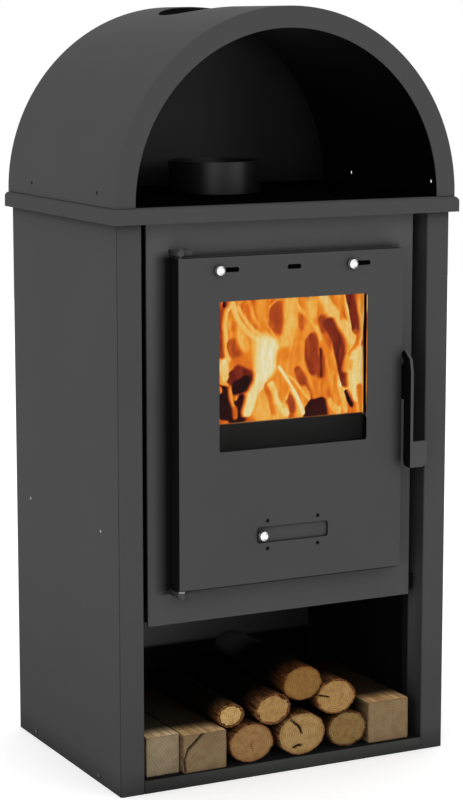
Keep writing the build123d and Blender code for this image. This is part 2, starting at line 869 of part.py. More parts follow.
wash_ports = (-151.0, -29.75, 85.0)
wash_port_length = 22.0
with BuildPart() as air_wash_slide:
    with BuildSketch(facing(bar_front)):
        with Locations((between(*wash_bar), wash_height)):
            Rectangle(wash_bar[1] - wash_bar[0], wash_bar_height)
        for port in wash_ports:
            with Locations((port, wash_height)):
                Rectangle(wash_port_length, slot_height, mode=Mode.SUBTRACT)
    extrude(amount=-slide_thickness)
air_wash_slide.part.label = "air_wash_slide"
export_step(air_wash_slide.part, "parts/air_wash_slide.step")

# Each knob is a bead of 24 sides with its edges turned off, on a neck through the slot.
knob_radius = knob_diameter / 2
knob_clearance = 0.6
knob_back = -door_proud - knob_clearance
knob_front = -door_proud - knob_reach - knob_radius
knob_sides = 24
knob_edge = 3.6


def knobs(height, *stems):
    with BuildSketch(facing(knob_front)) as beads:
        for stem in stems:
            with Locations((stem, height)):
                RegularPolygon(knob_radius, knob_sides)
    extrude(beads.sketch, amount=-(knob_back - knob_front))
    chamfer(faces().filter_by(Axis.Y).edges(), length=knob_edge)
    with BuildSketch(facing(bar_front)) as necks:
        for stem in stems:
            with Locations((stem, height)):
                fastener(stem_radius)
    extrude(necks.sketch, amount=bar_front - knob_back)


with BuildPart() as air_wash_knobs:
    knobs(wash_height, *wash_stems)
air_wash_knobs.part.label = "air_wash_knobs"
export_step(air_wash_knobs.part, "parts/air_wash_knobs.step")

primary_bar_height = 35.0
primary_bar = (-66.0, 74.0)
primary_guide = (-72.0, 108.0)
primary_guide_height = 9.0
with BuildPart() as primary_guides:
    guide_pair(primary_middle, primary_bar_height, primary_guide_height, *primary_guide)
    with BuildSketch(facing(sheet_back)):
        for rivet_height in rivet_heights:
            with Locations((-rivet_x, rivet_height), (rivet_x, rivet_height)):
                fastener(rivet_radius)
    extrude(amount=-(guide_back + guide_lip - sheet_back), mode=Mode.SUBTRACT)
primary_guides.part.label = "primary_guides"
export_step(primary_guides.part, "parts/primary_guides.step")

rivet_head = 0.8
rivet_head_radius = 2.8
with BuildPart() as guide_rivets:
    with BuildSketch(facing(-door_proud)):
        for rivet_height in rivet_heights:
            with Locations((-rivet_x, rivet_height), (rivet_x, rivet_height)):
                fastener(rivet_radius)
    extrude(amount=-(guide_back + guide_lip + door_proud))
    with BuildSketch(facing(-door_proud)):
        for rivet_height in rivet_heights:
            with Locations((-rivet_x, rivet_height), (rivet_x, rivet_height)):
                fastener(rivet_head_radius)
    extrude(amount=rivet_head)
guide_rivets.part.label = "guide_rivets"
export_step(guide_rivets.part, "parts/guide_rivets.step")

with BuildPart() as primary_slide:
    with BuildSketch(facing(bar_front)):
        with Locations((between(*primary_bar), primary_middle)):
            Rectangle(primary_bar[1] - primary_bar[0], primary_bar_height)
    extrude(amount=-slide_thickness)
primary_slide.part.label = "primary_slide"
export_step(primary_slide.part, "parts/primary_slide.step")

with BuildPart() as primary_knob:
    knobs(primary_middle, primary_stem)
primary_knob.part.label = "primary_knob"
export_step(primary_knob.part, "parts/primary_knob.step")

# Latch: the lever hangs beside the door and its hook closes behind a fixed pin.

pivot_y = front + lever_pivot[0]
pivot_z = lever_pivot[1]
hub_radius = 12.0
hook_slot = keeper_radius + seal_gap
keeper_angle = 28.0
slot_lead = 1.0
slot_start = -keeper_angle - slot_lead
slot_sweep = 64.0
keeper_y = pivot_y + hook_radius * cos(radians(keeper_angle))
keeper_z = pivot_z - hook_radius * sin(radians(keeper_angle))
nose_top = 644.0
nose_bottom = 589.0
nose_back = 16.2
lever_bottom = 482.0
lever_back = -15.4
bend_bottom = 635.0
shoulders = ((-33.0, 655.5), (-15.7, 669.0), (-4.0, 661.5))
thumb_top = 523.5
thumb_right = 232.0
heel_radius = 9.0
thumb_corner = 12.0
thumb_top_corner = 3.0

with BuildPart() as handle_lever:
    with BuildSketch(Plane.YZ.offset(lever_left)) as lever_outline:
        with BuildLine():
            Polyline(
                (front - lever_reach, lever_bottom),
                (front - lever_reach, bend_bottom),
                *((front + distance, height) for distance, height in shoulders),
                (pivot_y + hub_radius, pivot_z),
                (pivot_y + hub_radius, nose_top),
                (front + nose_back, nose_top),
                (front + nose_back, nose_bottom),
                (front + lever_back, nose_bottom),
                (front + lever_back, lever_bottom),
                close=True,
            )
        make_face()
        corners = lever_outline.vertices().group_by(Axis.Y)
        fillet(corners[0].sort_by(Axis.X)[-1], radius=heel_radius)
        fillet(corners[1].sort_by(Axis.X)[-1], radius=thumb_corner)
        with Locations((pivot_y, pivot_z)):
            Circle(hub_radius)
        with BuildLine():
            outer_wall = CenterArc((pivot_y, pivot_z), hook_radius + hook_slot, slot_start, slot_sweep)
            inner_wall = CenterArc((pivot_y, pivot_z), hook_radius - hook_slot, slot_start, slot_sweep)
            Line(outer_wall @ 0, inner_wall @ 0)
            Line(outer_wall @ 1, inner_wall @ 1)
        make_face(mode=Mode.SUBTRACT)
        with Locations((keeper_y, keeper_z)):
            Circle(hook_slot, mode=Mode.SUBTRACT)
        with Locations((pivot_y, pivot_z)):
            Circle(pivot_radius + running_gap, mode=Mode.SUBTRACT)
    extrude(amount=lever_thickness)
    with BuildSketch(facing(-lever_reach)) as thumb_outline:
        with Locations((lever_left, lever_bottom)):
            Rectangle(thumb_right - lever_left, thumb_top - lever_bottom, align=(Align.MIN, Align.MIN))
        fillet(thumb_outline.vertices().group_by(Axis.Y)[0].sort_by(Axis.X)[-1], radius=thumb_corner)
        fillet(thumb_outline.vertices().group_by(Axis.Y)[-1].sort_by(Axis.X)[-1], radius=thumb_top_corner)
    extrude(amount=-lever_thickness)
handle_lever.part.label = "handle_lever"
export_step(handle_lever.part, "parts/handle_lever.step")

lever_right = lever_left + lever_thickness
door_side = door_width / 2
boss_radius = 6.8
boss_height = 4.0
pivot_tail = 8.0
pivot_start = door_inside_x - pivot_tail
with BuildPart() as handle_pivot:
    with BuildSketch(Plane.YZ.offset(pivot_start)):
        with Locations((pivot_y, pivot_z)):
            Circle(pivot_radius)
    extrude(amount=lever_right + seal_gap - pivot_start)
    with BuildSketch(Plane.YZ.offset(lever_right + seal_gap)):
        with Locations((pivot_y, pivot_z)):
            screw_top(boss_radius)
    extrude(amount=boss_height)
handle_pivot.part.label = "handle_pivot"
export_step(handle_pivot.part, "parts/handle_pivot.step")

with BuildPart() as handle_spacer:
    with BuildSketch(Plane.YZ.offset(door_side)):
        with Locations((pivot_y, pivot_z)):
            screw_top(boss_radius)
            Circle(pivot_radius, mode=Mode.SUBTRACT)
    extrude(amount=lever_left - seal_gap - door_side)
handle_spacer.part.label = "handle_spacer"
export_step(handle_spacer.part, "parts/handle_spacer.step")

backing_size = (18.0, 26.0)
backing_thickness = 4.0
with BuildPart() as handle_backing:
    with BuildSketch(Plane.YZ.offset(door_inside_x)):
        with Locations((front + sheet_back, pivot_z)):
            Rectangle(*backing_size, align=(Align.MIN, Align.CENTER))
        with Locations((pivot_y, pivot_z)):
            Circle(pivot_radius, mode=Mode.SUBTRACT)
    extrude(amount=-backing_thickness)
handle_backing.part.label = "handle_backing"
export_step(handle_backing.part, "parts/handle_backing.step")

bracket_left = 197.6
bracket_sheet = 2.0
bracket_half = 9.0
bracket_corner = 4.0
bracket_reach = front + panel_depth - keeper_y + bracket_half
with BuildPart() as keeper_bracket:
    with BuildSketch(Plane.YZ.offset(bracket_left)) as bracket_outline:
        with Locations((front + panel_depth, keeper_z)):
            Rectangle(bracket_reach, 2 * bracket_half, align=(Align.MAX, Align.CENTER))
        chamfer(bracket_outline.vertices().group_by(Axis.X)[0], length=bracket_corner)
        with Locations((keeper_y, keeper_z)):
            Circle(keeper_radius, mode=Mode.SUBTRACT)
    extrude(amount=bracket_sheet)
keeper_bracket.part.label = "keeper_bracket"
export_step(keeper_bracket.part, "parts/keeper_bracket.step")

pin_tip = 1.0
pin_end = lever_right + pin_tip
with BuildPart() as keeper_pin:
    with BuildSketch(Plane.YZ.offset(bracket_left)):
        with Locations((keeper_y, keeper_z)):
            Circle(keeper_radius)
    extrude(amount=pin_end - bracket_left)
keeper_pin.part.label = "keeper_pin"
export_step(keeper_pin.part, "parts/keeper_pin.step")

# Firewood: squared timbers at the sides and oval round logs stacked between them.
# The round logs are circles squashed alike, so that each one touches those that carry it.

log_length = 250.0
log_squash = 1.24
wood_floor = rail_height
timbers = (
    ("left", -240.0, -182.6, 84.5, 16.0),
    ("middle", -181.0, -105.0, 83.0, 6.0),
    ("right", 155.5, 231.0, 90.0, 10.0),
)
floor_logs = ((-59.5, 32.5), (30.0, 35.5), (117.0, 30.5))
left_log_radius = 26.5
wedged_log_x = 94.0
wedged_log_radius = 30.0
top_log_radius = 29.0
small_log_radius = 19.5
log_starts = (8.0, 6.0, 12.0, 10.0, 9.0, 7.0, 20.0)


# Where a log of this radius lies between two others, each given as across, up and radius.
def resting(left, right, radius):
    span = Vector(right[0] - left[0], right[1] - left[1])
    a = left[2] + radius
    b = right[2] + radius
    along = (a**2 - b**2 + span.length**2) / (2 * span.length)
    rise = sqrt(a**2 - along**2)
    unit = span / span.length
    return (left[0] + unit.X * along - unit.Y * rise, left[1] + unit.Y * along + unit.X * rise, radius)


log_gap = 0.15
log_sides = 24
timber_edge = 2.0
rounds = [(x / log_squash, wood_floor + radius, radius) for x, radius in floor_logs]
rounds.append(resting(rounds[0], rounds[1], left_log_radius))
wedged_across = wedged_log_x / log_squash
wedged_rise = sqrt((wedged_log_radius + rounds[2][2]) ** 2 - (rounds[2][0] - wedged_across) ** 2)
rounds.append((wedged_across, rounds[2][1] + wedged_rise, wedged_log_radius))
rounds.append(resting(rounds[3], rounds[4], top_log_radius))
timber_corner = (timbers[1][2] / log_squash, timbers[1][3], 0)
rounds.append(resting(timber_corner, rounds[0], small_log_radius))

with BuildPart() as firewood_round_logs:
    for (across, height, radius), log_start in zip(rounds, log_starts):
        outline = []
        for step in range(log_sides):
            turn = radians(360 * step / log_sides)
            rim = radius - log_gap
            outline.append(((across + rim * cos(turn)) * log_squash, height + rim * sin(turn)))
        with BuildSketch(facing(log_start)):
            with BuildLine():
                Polyline(*outline, close=True)
            make_face()
        extrude(amount=-log_length)
firewood_round_logs.part.label = "firewood_round_logs"
export_step(firewood_round_logs.part, "parts/firewood_round_logs.step")

with BuildPart() as firewood_timbers:
    for name, left, right, top, log_start in timbers:
        with BuildSketch(facing(log_start)) as timber_end:
            with Locations((between(left, right), between(wood_floor, top))):
                Rectangle(right - left, top - wood_floor)
            chamfer(timber_end.vertices(), length=timber_edge)
        extrude(amount=-log_length)
firewood_timbers.part.label = "firewood_timbers"
export_step(firewood_timbers.part, "parts/firewood_timbers.step")
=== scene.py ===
import math
import bpy
import numpy as np
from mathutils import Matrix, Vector, noise


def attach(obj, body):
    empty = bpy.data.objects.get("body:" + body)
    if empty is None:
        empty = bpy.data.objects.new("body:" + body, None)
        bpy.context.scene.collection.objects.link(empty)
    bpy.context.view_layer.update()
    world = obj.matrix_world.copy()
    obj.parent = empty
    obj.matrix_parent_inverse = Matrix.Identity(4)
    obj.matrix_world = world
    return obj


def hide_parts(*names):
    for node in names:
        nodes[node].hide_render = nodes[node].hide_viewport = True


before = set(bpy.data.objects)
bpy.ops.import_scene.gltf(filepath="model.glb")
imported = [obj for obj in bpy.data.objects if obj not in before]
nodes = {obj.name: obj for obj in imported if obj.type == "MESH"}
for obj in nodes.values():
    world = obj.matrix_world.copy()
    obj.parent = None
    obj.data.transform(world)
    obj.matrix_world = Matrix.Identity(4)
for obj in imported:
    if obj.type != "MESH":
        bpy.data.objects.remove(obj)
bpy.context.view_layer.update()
scene = bpy.context.scene
print("frame loaded:", len(nodes), "nodes")

# Where the solids lie that the finishes follow, in metres
frontY = -0.1932  # the casing's front face
doorFaceY = frontY - 0.0155  # the back of the door's front sheet
backInnerY = 0.2245  # the inside of the back panel
casingHalf = 0.2895
returnHalf = 0.2504  # to the folded returns of the side panels
returnDepth = 0.042
doorHalf = 0.1962
windowMiddle = 0.002
windowHalf = 0.1295
windowBottom = 0.5680
windowTop = 0.7665
plateTop = 0.9082
hoodMiddle = 0.9109  # height of the hood's centre line
hoodRadius = 0.2940
collarDepth = 0.064  # the collar's axis in Y
hoodBackInner = min(vertex.co[1] for vertex in nodes["hood_back_plate"].data.vertices)
retainerTop = max(vertex.co[2] for vertex in nodes["log_retainer"].data.vertices)


# Small helpers for node trees
def put(tree, kind, sockets=None, **settings):
    node = tree.nodes.new(kind)
    for label, value in settings.items():
        setattr(node, label, value)
    for label, value in (sockets or {}).items():
        if isinstance(value, bpy.types.NodeSocket):
            tree.links.new(value, node.inputs[label])
        else:
            node.inputs[label].default_value = value
    return node


def make(tree, kind, sockets=None, **settings):
    return put(tree, kind, sockets, **settings).outputs[0]


def maths(tree, operation, *values, clamp=False):
    return make(tree, "ShaderNodeMath", dict(enumerate(values)), operation=operation, use_clamp=clamp)


def plus(tree, first, second, clamp=False):
    return maths(tree, "ADD", first, second, clamp=clamp)


def minus(tree, first, second):
    return maths(tree, "SUBTRACT", first, second)


def times(tree, product, *values):
    for value in values:
        product = maths(tree, "MULTIPLY", product, value)
    return product


def either(tree, most, *masks):
    for mask in masks:
        most = maths(tree, "MAXIMUM", most, mask)
    return most


def sizeOf(tree, value):
    return maths(tree, "ABSOLUTE", value)


def ramp(tree, value, low, high, fromLow=0.0, fromHigh=1.0):
    return make(tree, "ShaderNodeMapRange", {0: value, 1: fromLow, 2: fromHigh, 3: low, 4: high})


# A mask along one value: nothing at the first number and its full strength at the second
def edge(tree, value, none, full, strength=1.0):
    if none < full:
        return ramp(tree, value, 0.0, strength, none, full)
    return ramp(tree, value, strength, 0.0, full, none)


# Where several such masks meet
def within(tree, *rows):
    return times(tree, *[edge(tree, *row) for row in rows])


def mixColors(tree, factor, first, second, blend="MIX"):
    node = put(tree, "ShaderNodeMix", {0: factor, 6: first, 7: second}, data_type="RGBA", blend_type=blend)
    return node.outputs[2]


def mixValues(tree, factor, first, second):
    return make(tree, "ShaderNodeMix", {0: factor, 2: first, 3: second})


def objectPlace(tree):
    return put(tree, "ShaderNodeTexCoord").outputs["Object"]


def partsOf(tree, vector):
    return list(put(tree, "ShaderNodeSeparateXYZ", {0: vector}).outputs)


def vectorOf(tree, x=0.0, y=0.0, z=0.0):
    return make(tree, "ShaderNodeCombineXYZ", {0: x, 1: y, 2: z})


def scaled(tree, vector, factor):
    return make(tree, "ShaderNodeVectorMath", {0: vector, "Scale": factor}, operation="SCALE")


def mottle(tree, vector, scale, detail=2.0, **more):
    sockets = {"Vector": vector, "Scale": scale, "Detail": detail, **more}
    return put(tree, "ShaderNodeTexNoise", sockets).outputs["Fac"]


floatSocket = "NodeSocketFloat"
colorSocket = "NodeSocketColor"


# Named inputs of a group; the kind of each follows from its usual value
def addInputs(tree, inputs):
    for label, usual in inputs.items():
        if usual is None:
            kind = "NodeSocketMaterial"
        elif isinstance(usual, tuple):
            kind = colorSocket if len(usual) == 4 else "NodeSocketVector"
        else:
            kind = "NodeSocketInt" if isinstance(usual, int) else floatSocket
        socket = tree.interface.new_socket(label, in_out="INPUT", socket_type=kind)
        if usual is not None:
            socket.default_value = usual


def shaderGroup(name, inputs, **outputs):
    tree = bpy.data.node_groups.new(name, "ShaderNodeTree")
    addInputs(tree, inputs)
    for label, kind in outputs.items():
        tree.interface.new_socket(label, in_out="OUTPUT", socket_type=kind)
    return tree, put(tree, "NodeGroupInput").outputs, put(tree, "NodeGroupOutput").inputs


def placeGroup(tree, group, **values):
    sockets = {label.replace("_", " "): value for label, value in values.items()}
    return put(tree, "ShaderNodeGroup", sockets, node_tree=group).outputs


# Slow mottling with a fine grain, for every coated or pressed surface
def buildSurfaceGrain():
    tree, given, out = shaderGroup(
        "surfaceGrain",
        {
            "Color": (0.5, 0.5, 0.5, 1),
            "Mottle": 0.1,
            "Mottle Scale": 9.0,
            "Grain Scale": 900.0,
            "Roughness": 0.5,
            "Rough Spread": 0.1,
        },
        Color=colorSocket,
        Roughness=floatSocket,
        Height=floatSocket,
    )
    place = objectPlace(tree)
    slow = mottle(tree, place, given["Mottle Scale"], 4.0)
    fine = mottle(tree, place, given["Grain Scale"])
    uneven = plus(tree, minus(tree, slow, 0.5), times(tree, minus(tree, fine, 0.5), 0.6))
    factor = plus(tree, times(tree, uneven, times(tree, given["Mottle"], 2.0)), 1.0)
    tree.links.new(scaled(tree, given["Color"], factor), out["Color"])
    rough = plus(tree, given["Roughness"], times(tree, uneven, given["Rough Spread"]), clamp=True)
    tree.links.new(rough, out["Roughness"])
    tree.links.new(fine, out["Height"])
    return tree


# Growth rings round the pith, read from the pieces' own UV map, in metres
def buildWoodRings():
    tree, given, out = shaderGroup(
        "woodRings", {"Ring Width": 0.0026, "Wobble": 0.003, "Contrast": 0.3}, Rings=floatSocket, Rays=floatSocket
    )
    pith = make(tree, "ShaderNodeUVMap", uv_map="pith")
    place = objectPlace(tree)
    bend = put(tree, "ShaderNodeTexNoise", {"Vector": place, "Scale": 38.0, "Detail": 3.0}).outputs["Color"]
    centred = make(tree, "ShaderNodeVectorMath", {0: bend, 1: (0.5, 0.5, 0.5)}, operation="SUBTRACT")
    moved = scaled(tree, centred, given["Wobble"])
    warped = make(tree, "ShaderNodeVectorMath", {0: pith, 1: moved}, operation="ADD")
    far = put(tree, "ShaderNodeVectorMath", {0: warped}, operation="LENGTH").outputs["Value"]
    saw = maths(tree, "FRACT", maths(tree, "DIVIDE", far, given["Ring Width"]))
    late = ramp(tree, maths(tree, "POWER", saw, 3.0), 0.0, 1.0)
    uneven = ramp(tree, mottle(tree, place, 60.0), 0.2, 1.5)
    tree.links.new(times(tree, late, uneven, given["Contrast"]), out["Rings"])
    flat = partsOf(tree, warped)
    angle = maths(tree, "ARCTAN2", flat[1], flat[0])
    spokes = vectorOf(tree, times(tree, angle, 9.0), times(tree, far, 14.0))
    tree.links.new(mottle(tree, spokes, 2.2, 3.0), out["Rays"])
    return tree


# Fibre that runs along Y, for sawn faces and bark
def buildWoodFibre():
    tree, given, out = shaderGroup(
        "woodFibre", {"Across": 300.0, "Along": 14.0, "Distortion": 0.4}, Fibre=floatSocket
    )
    parts = partsOf(tree, objectPlace(tree))
    stretched = [times(tree, part, given[way]) for part, way in zip(parts, ("Across", "Along", "Across"))]
    fibre = mottle(tree, vectorOf(tree, *stretched), 1.0, 5.0, Distortion=given["Distortion"])
    tree.links.new(fibre, out["Fibre"])
    return tree


# Glow colours from cold char to the white heart of a flame
def buildHeatColors():
    tree, given, out = shaderGroup("heatColors", {"Heat": 0.5}, Color=colorSocket)
    node = put(tree, "ShaderNodeValToRGB", {0: given["Heat"]})
    stops = (
        (0.0, (0.010, 0.001, 0.001)),
        (0.1, (0.040, 0.002, 0.002)),
        (0.22, (0.21, 0.021, 0.007)),
        (0.34, (0.42, 0.062, 0.009)),
        (0.46, (0.67, 0.137, 0.009)),
        (0.58, (0.80, 0.245, 0.016)),
        (0.7, (0.83, 0.41, 0.068)),
        (0.82, (0.80, 0.57, 0.19)),
        (0.92, (0.78, 0.68, 0.36)),
        (1.0, (0.81, 0.77, 0.60)),
    )
    band = node.color_ramp
    for element, (position, color) in zip(band.elements, (stops[0], stops[-1])):
        element.color = (*color, 1)
    for position, color in stops[1:-1]:
        band.elements.new(position).color = (*color, 1)
    tree.links.new(node.outputs["Color"], out["Color"])
    return tree


# Painted shade: darker in crevices, from ambient occlusion, and near the floor
def buildCreviceShade():
    tree, given, out = shaderGroup(
        "creviceShade",
        {"Color": (0.5, 0.5, 0.5, 1), "Reach": 0.06, "Depth": 0.85, "Floor Shade": 0.15},
        Color=colorSocket,
    )
    hidden = put(tree, "ShaderNodeAmbientOcclusion", {"Distance": given["Reach"]}, samples=8)
    openness = edge(tree, hidden.outputs["AO"], 0.25, 0.88)
    keep = minus(tree, 1.0, times(tree, minus(tree, 1.0, openness), given["Depth"]))
    height = partsOf(tree, objectPlace(tree))[2]
    low = times(tree, edge(tree, height, 0.3, 0.0), given["Floor Shade"])
    factor = times(tree, keep, minus(tree, 1.0, low))
    tree.links.new(scaled(tree, given["Color"], factor), out["Color"])
    return tree


surfaceGrain = buildSurfaceGrain()
creviceShade = buildCreviceShade()
woodRings = buildWoodRings()
woodFibre = buildWoodFibre()
heatColors = buildHeatColors()


def newMaterial(name, **plain):
    material = bpy.data.materials.new(name)
    material.use_nodes = True
    tree = material.node_tree
    shader = tree.nodes["Principled BSDF"]
    for label, value in plain.items():
        shader.inputs[label.replace("_", " ")].default_value = value
    return material, tree, shader


def bump(tree, shader, height, strength, distance):
    turned = make(tree, "ShaderNodeBump", {"Height": height, "Strength": strength, "Distance": distance})
    tree.links.new(turned, shader.inputs["Normal"])


bareSteel = {"color": (0.92, 0.88, 0.84, 1), "roughness": 0.12}
dullRoughness = 0.9


# A coated or pressed surface: its grain, painted shade in its crevices and near the floor, painted shade where it is
# blackened and painted light where it is paler.
# The shade mask is 1 where shade is painted in as dull black; lift gives how many times paler or darker it is, as
# painted light and shade;
# polished gives a mask of bare steel; the fire mask gives where the fire's light is painted on as a glow.
def grainMaterial(name, finish, paintedShade=None, black=0.002, lift=None, fireLit=None, polished=None, **plain):
    material, tree, shader = newMaterial(name, **plain)
    grain = placeGroup(
        tree,
        surfaceGrain,
        Color=(*finish["color"], 1),
        Mottle=finish["mottle"],
        Mottle_Scale=finish["mottleScale"],
        Grain_Scale=finish["grainScale"],
        Roughness=finish["roughness"],
        Rough_Spread=finish["roughSpread"],
    )
    color = placeGroup(
        tree,
        creviceShade,
        Color=grain["Color"],
        Reach=finish["reach"],
        Depth=finish["crevice"],
        Floor_Shade=finish["floorShade"],
    )["Color"]
    roughness = grain["Roughness"]
    place = partsOf(tree, objectPlace(tree))
    if lift:
        color = scaled(tree, color, lift(tree, place))
    if paintedShade:
        mask = paintedShade(tree, place)
        color = mixColors(tree, mask, color, (black, black, black, 1))
        roughness = either(tree, roughness, times(tree, mask, dullRoughness))
    if polished:
        mask = polished(tree, place)
        color = mixColors(tree, mask, color, bareSteel["color"])
        roughness = mixValues(tree, mask, roughness, bareSteel["roughness"])
        tree.links.new(mask, shader.inputs["Metallic"])
    if fireLit:
        glow = paintedFireGlow(tree, place, fireLit(tree, place))
        tree.links.new(glow, shader.inputs["Emission Color"])
        shader.inputs["Emission Strength"].default_value = 1.0
    tree.links.new(color, shader.inputs["Base Color"])
    tree.links.new(roughness, shader.inputs["Roughness"])
    bump(tree, shader, grain["Height"], finish["bump"], finish["bumpDepth"])
    return material


# Painted fire light: steel that the fire lights glows in the colours of the flames
def paintedFireGlow(tree, place, mask):
    licks = mottle(tree, vectorOf(tree, *place), 26.0)
    color = placeGroup(tree, heatColors, Heat=ramp(tree, licks, 0.34, 0.80, 0.35, 0.65))["Color"]
    return mixColors(tree, mask, (0, 0, 0, 1), color)


# The window's cut edges are bare steel and mirror the fire
def windowEdges(tree, place):
    across = sizeOf(tree, minus(tree, place[0], windowMiddle))
    return within(
        tree,
        (across, windowHalf - 0.0002, windowHalf + 0.0002),
        (place[1], doorFaceY - 0.0002, doorFaceY),
        (across, windowHalf + 0.0175, windowHalf + 0.0145),
        (place[2], windowBottom - 0.0015, windowBottom + 0.0015),
        (place[2], windowTop + 0.0015, windowTop - 0.0015),
    )


# Painted fire light: the log retainer's upper edge glows as if it catches the fire's light
def retainerEdge(tree, place):
    return edge(tree, place[2], retainerTop - 0.0012, retainerTop - 0.0002, 0.35)


# Painted shade: the hood's inside, found by its distance from the centre line, is blackened
def insideHood(tree, place):
    height = minus(tree, place[2], hoodMiddle)
    square = plus(tree, times(tree, place[0], place[0]), times(tree, height, height))
    return edge(tree, maths(tree, "SQRT", square), hoodRadius + 0.0004, hoodRadius - 0.0004)


# Painted shade: the top plate under the hood is blackened
def underHood(tree, place):
    across = sizeOf(tree, place[0])
    return within(
        tree,
        (place[1], frontY - 0.0065, frontY + 0.004),
        (across, hoodRadius - 0.0005, hoodRadius - 0.0015),
        (place[2], plateTop - 0.0014, plateTop),
    )


# Painted light and shade: inside, the hood's back plate is dull and palest low on the left; outside it is plain
# paint
def hoodBackLight(tree, place):
    left = edge(tree, place[0], 0.17, 0.05)
    low = ramp(tree, place[2], 1.5, 0.7, 0.96, 1.10)
    inside = plus(tree, 1.0, times(tree, left, low, edge(tree, place[2], 0.937, 0.955)))
    outside = edge(tree, place[1], hoodBackInner + 0.0006, hoodBackInner + 0.0009)
    return mixValues(tree, outside, inside, paint["color"][0] / hoodBack["color"][0])


# Painted highlight: two upright bands of sheen on the collar's front, each with its angle, spread and strength
def collarPaintedSheen(tree, place):
    turn = maths(tree, "ARCTAN2", place[0], minus(tree, collarDepth, place[1]))
    bands = []
    for middle, spread, strength in ((-0.50, 0.20, 2.6), (0.06, 0.22, 2.2)):
        bands.append(edge(tree, sizeOf(tree, minus(tree, turn, middle)), spread, 0.05, strength))
    return plus(tree, 1.0, either(tree, *bands))


# Painted shade on the door's folded edges and cut edges, and painted shadow beside the handle
def doorEdges(tree, place):
    across = sizeOf(tree, place[0])
    folds = within(tree, (across, doorHalf - 0.0007, doorHalf, 0.95), (place[1], frontY - 0.0152, frontY - 0.0147))
    cuts = within(tree, (across, 0.191, 0.19), (place[1], doorFaceY - 0.0003, doorFaceY))
    shade = within(tree, (place[0], 0.176, 0.197, 0.75), (place[2], 0.68, 0.655), (place[2], 0.475, 0.495))
    return either(tree, folds, cuts, shade)


# Painted shadow of the door on the front plate beside it, above it and under it
def besideDoor(tree, place):
    x, z = place[0], place[2]
    onLeft = within(tree, (x, -0.2245, -0.2010, 0.93), (x, -0.165, -0.175))
    onRight = times(tree, ramp(tree, x, 0.62, 0.08, 0.2064, 0.2082), edge(tree, x, 0.17, 0.18))
    sides = times(tree, either(tree, onLeft, onRight), edge(tree, z, 0.841, 0.829), edge(tree, z, 0.306, 0.316))
    width = edge(tree, sizeOf(tree, x), 0.214, 0.205)
    above = times(tree, edge(tree, z, 0.82, 0.825), times(tree, edge(tree, z, 0.839, 0.826, 0.93), width))
    under = times(tree, edge(tree, z, 0.32, 0.318), times(tree, ramp(tree, z, 0.06, 0.72, 0.3081, 0.3093), width))
    return either(tree, sides, above, under)


# Painted shade: the flat sides of the handle, apart from its narrow edges, are blackened
def leverSides(tree, place):
    face = put(tree, "ShaderNodeNewGeometry").outputs["True Normal"]
    turned = sizeOf(tree, partsOf(tree, face)[0])
    return within(tree, (turned, 0.6, 0.8), (place[0], 0.209, 0.207))


# Painted shade: everything behind the base rail's front is blackened
def insideStore(tree, place):
    return edge(tree, place[1], frontY + 0.0015, frontY + 0.0022)


# Painted shade: the side panels' inner walls, behind their folded returns, are darkened
def insideCasing(tree, place):
    behind = frontY + returnDepth
    across = sizeOf(tree, place[0])
    return within(tree, (across, casingHalf, casingHalf - 0.0007), (place[1], behind, behind + 0.005))


# A thin dark line down the casing's front corners
def cornerLine(tree, place):
    across = sizeOf(tree, place[0])
    corner = edge(tree, across, casingHalf - 0.0002, casingHalf + 0.0002, 0.42)
    return minus(tree, 1.0, times(tree, corner, edge(tree, place[1], frontY + 0.0038, frontY + 0.0030)))


# Painted light and shade: the folded returns are paler inward and upward
def foldedReturns(tree, place):
    inner = edge(tree, sizeOf(tree, place[0]), returnHalf + 0.0002, returnHalf - 0.0002)
    folded = times(tree, inner, edge(tree, place[1], frontY + 0.0005, frontY + 0.003))
    upward = ramp(tree, place[2], 0.95, 1.45, 0.10, 0.25)
    inward = ramp(tree, place[1], 0.55, 1.0, frontY, frontY + returnDepth)
    shaded = minus(tree, times(tree, upward, inward), 1.0)
    lit = plus(tree, 1.0, times(tree, folded, shaded))
    return times(tree, lit, cornerLine(tree, place))


# Painted light and shade on the store's back wall: lit above the stack on the left, black below; plain paint outside
def storeBackLight(tree, place):
    left = ramp(tree, place[0], 1.0, 0.42, -0.05, 0.10)
    right = ramp(tree, place[0], 1.0, 0.42, 0.10, 0.25)
    inside = times(tree, left, right, ramp(tree, place[2], 0.06, 1.0, 0.108, 0.114))
    outside = edge(tree, place[1], backInnerY, backInnerY + 0.0005)
    return mixValues(tree, outside, inside, paint["color"][0] / storeBack["color"][0])


# Painted light: the front plate is a little paler above the door
def plateLight(tree, place):
    return ramp(tree, place[2], 0.93, 1.22, 0.60, 0.86)


# Painted shade: the base rail is darker at its left end
def railLight(tree, place):
    return ramp(tree, place[0], 0.62, 1.0, -0.26, -0.05)


paint = {
    "color": (0.071, 0.071, 0.0715),
    "mottle": 0.06,
    "mottleScale": 7.0,
    "grainScale": 1400.0,
    "roughness": 0.55,
    "roughSpread": 0.12,
    "bump": 0.25,
    "bumpDepth": 0.0002,
    "reach": 0.06,
    "crevice": 0.9,
    "floorShade": 0.15,
}
# The paint is flat: no mirror gleam, and a faint sheen at grazing angles
dull = {"Specular_IOR_Level": 0.0, "Sheen_Weight": 0.10, "Sheen_Roughness": 0.3}
sooty = dict(paint, mottle=0.18, mottleScale=16.0, roughness=0.7)
# The hood's back plate is a dark copy of the paint: painted shade inside the hood
hoodBack = dict(paint, color=(0.022, 0.022, 0.0225), roughness=0.7)
# The store's back wall is a pale copy of the paint, from which its painted light and shade are scaled
storeBack = dict(paint, color=(0.26, 0.26, 0.265), crevice=0.0, floorShade=0.0)
casing = dict(paint, crevice=0.6)
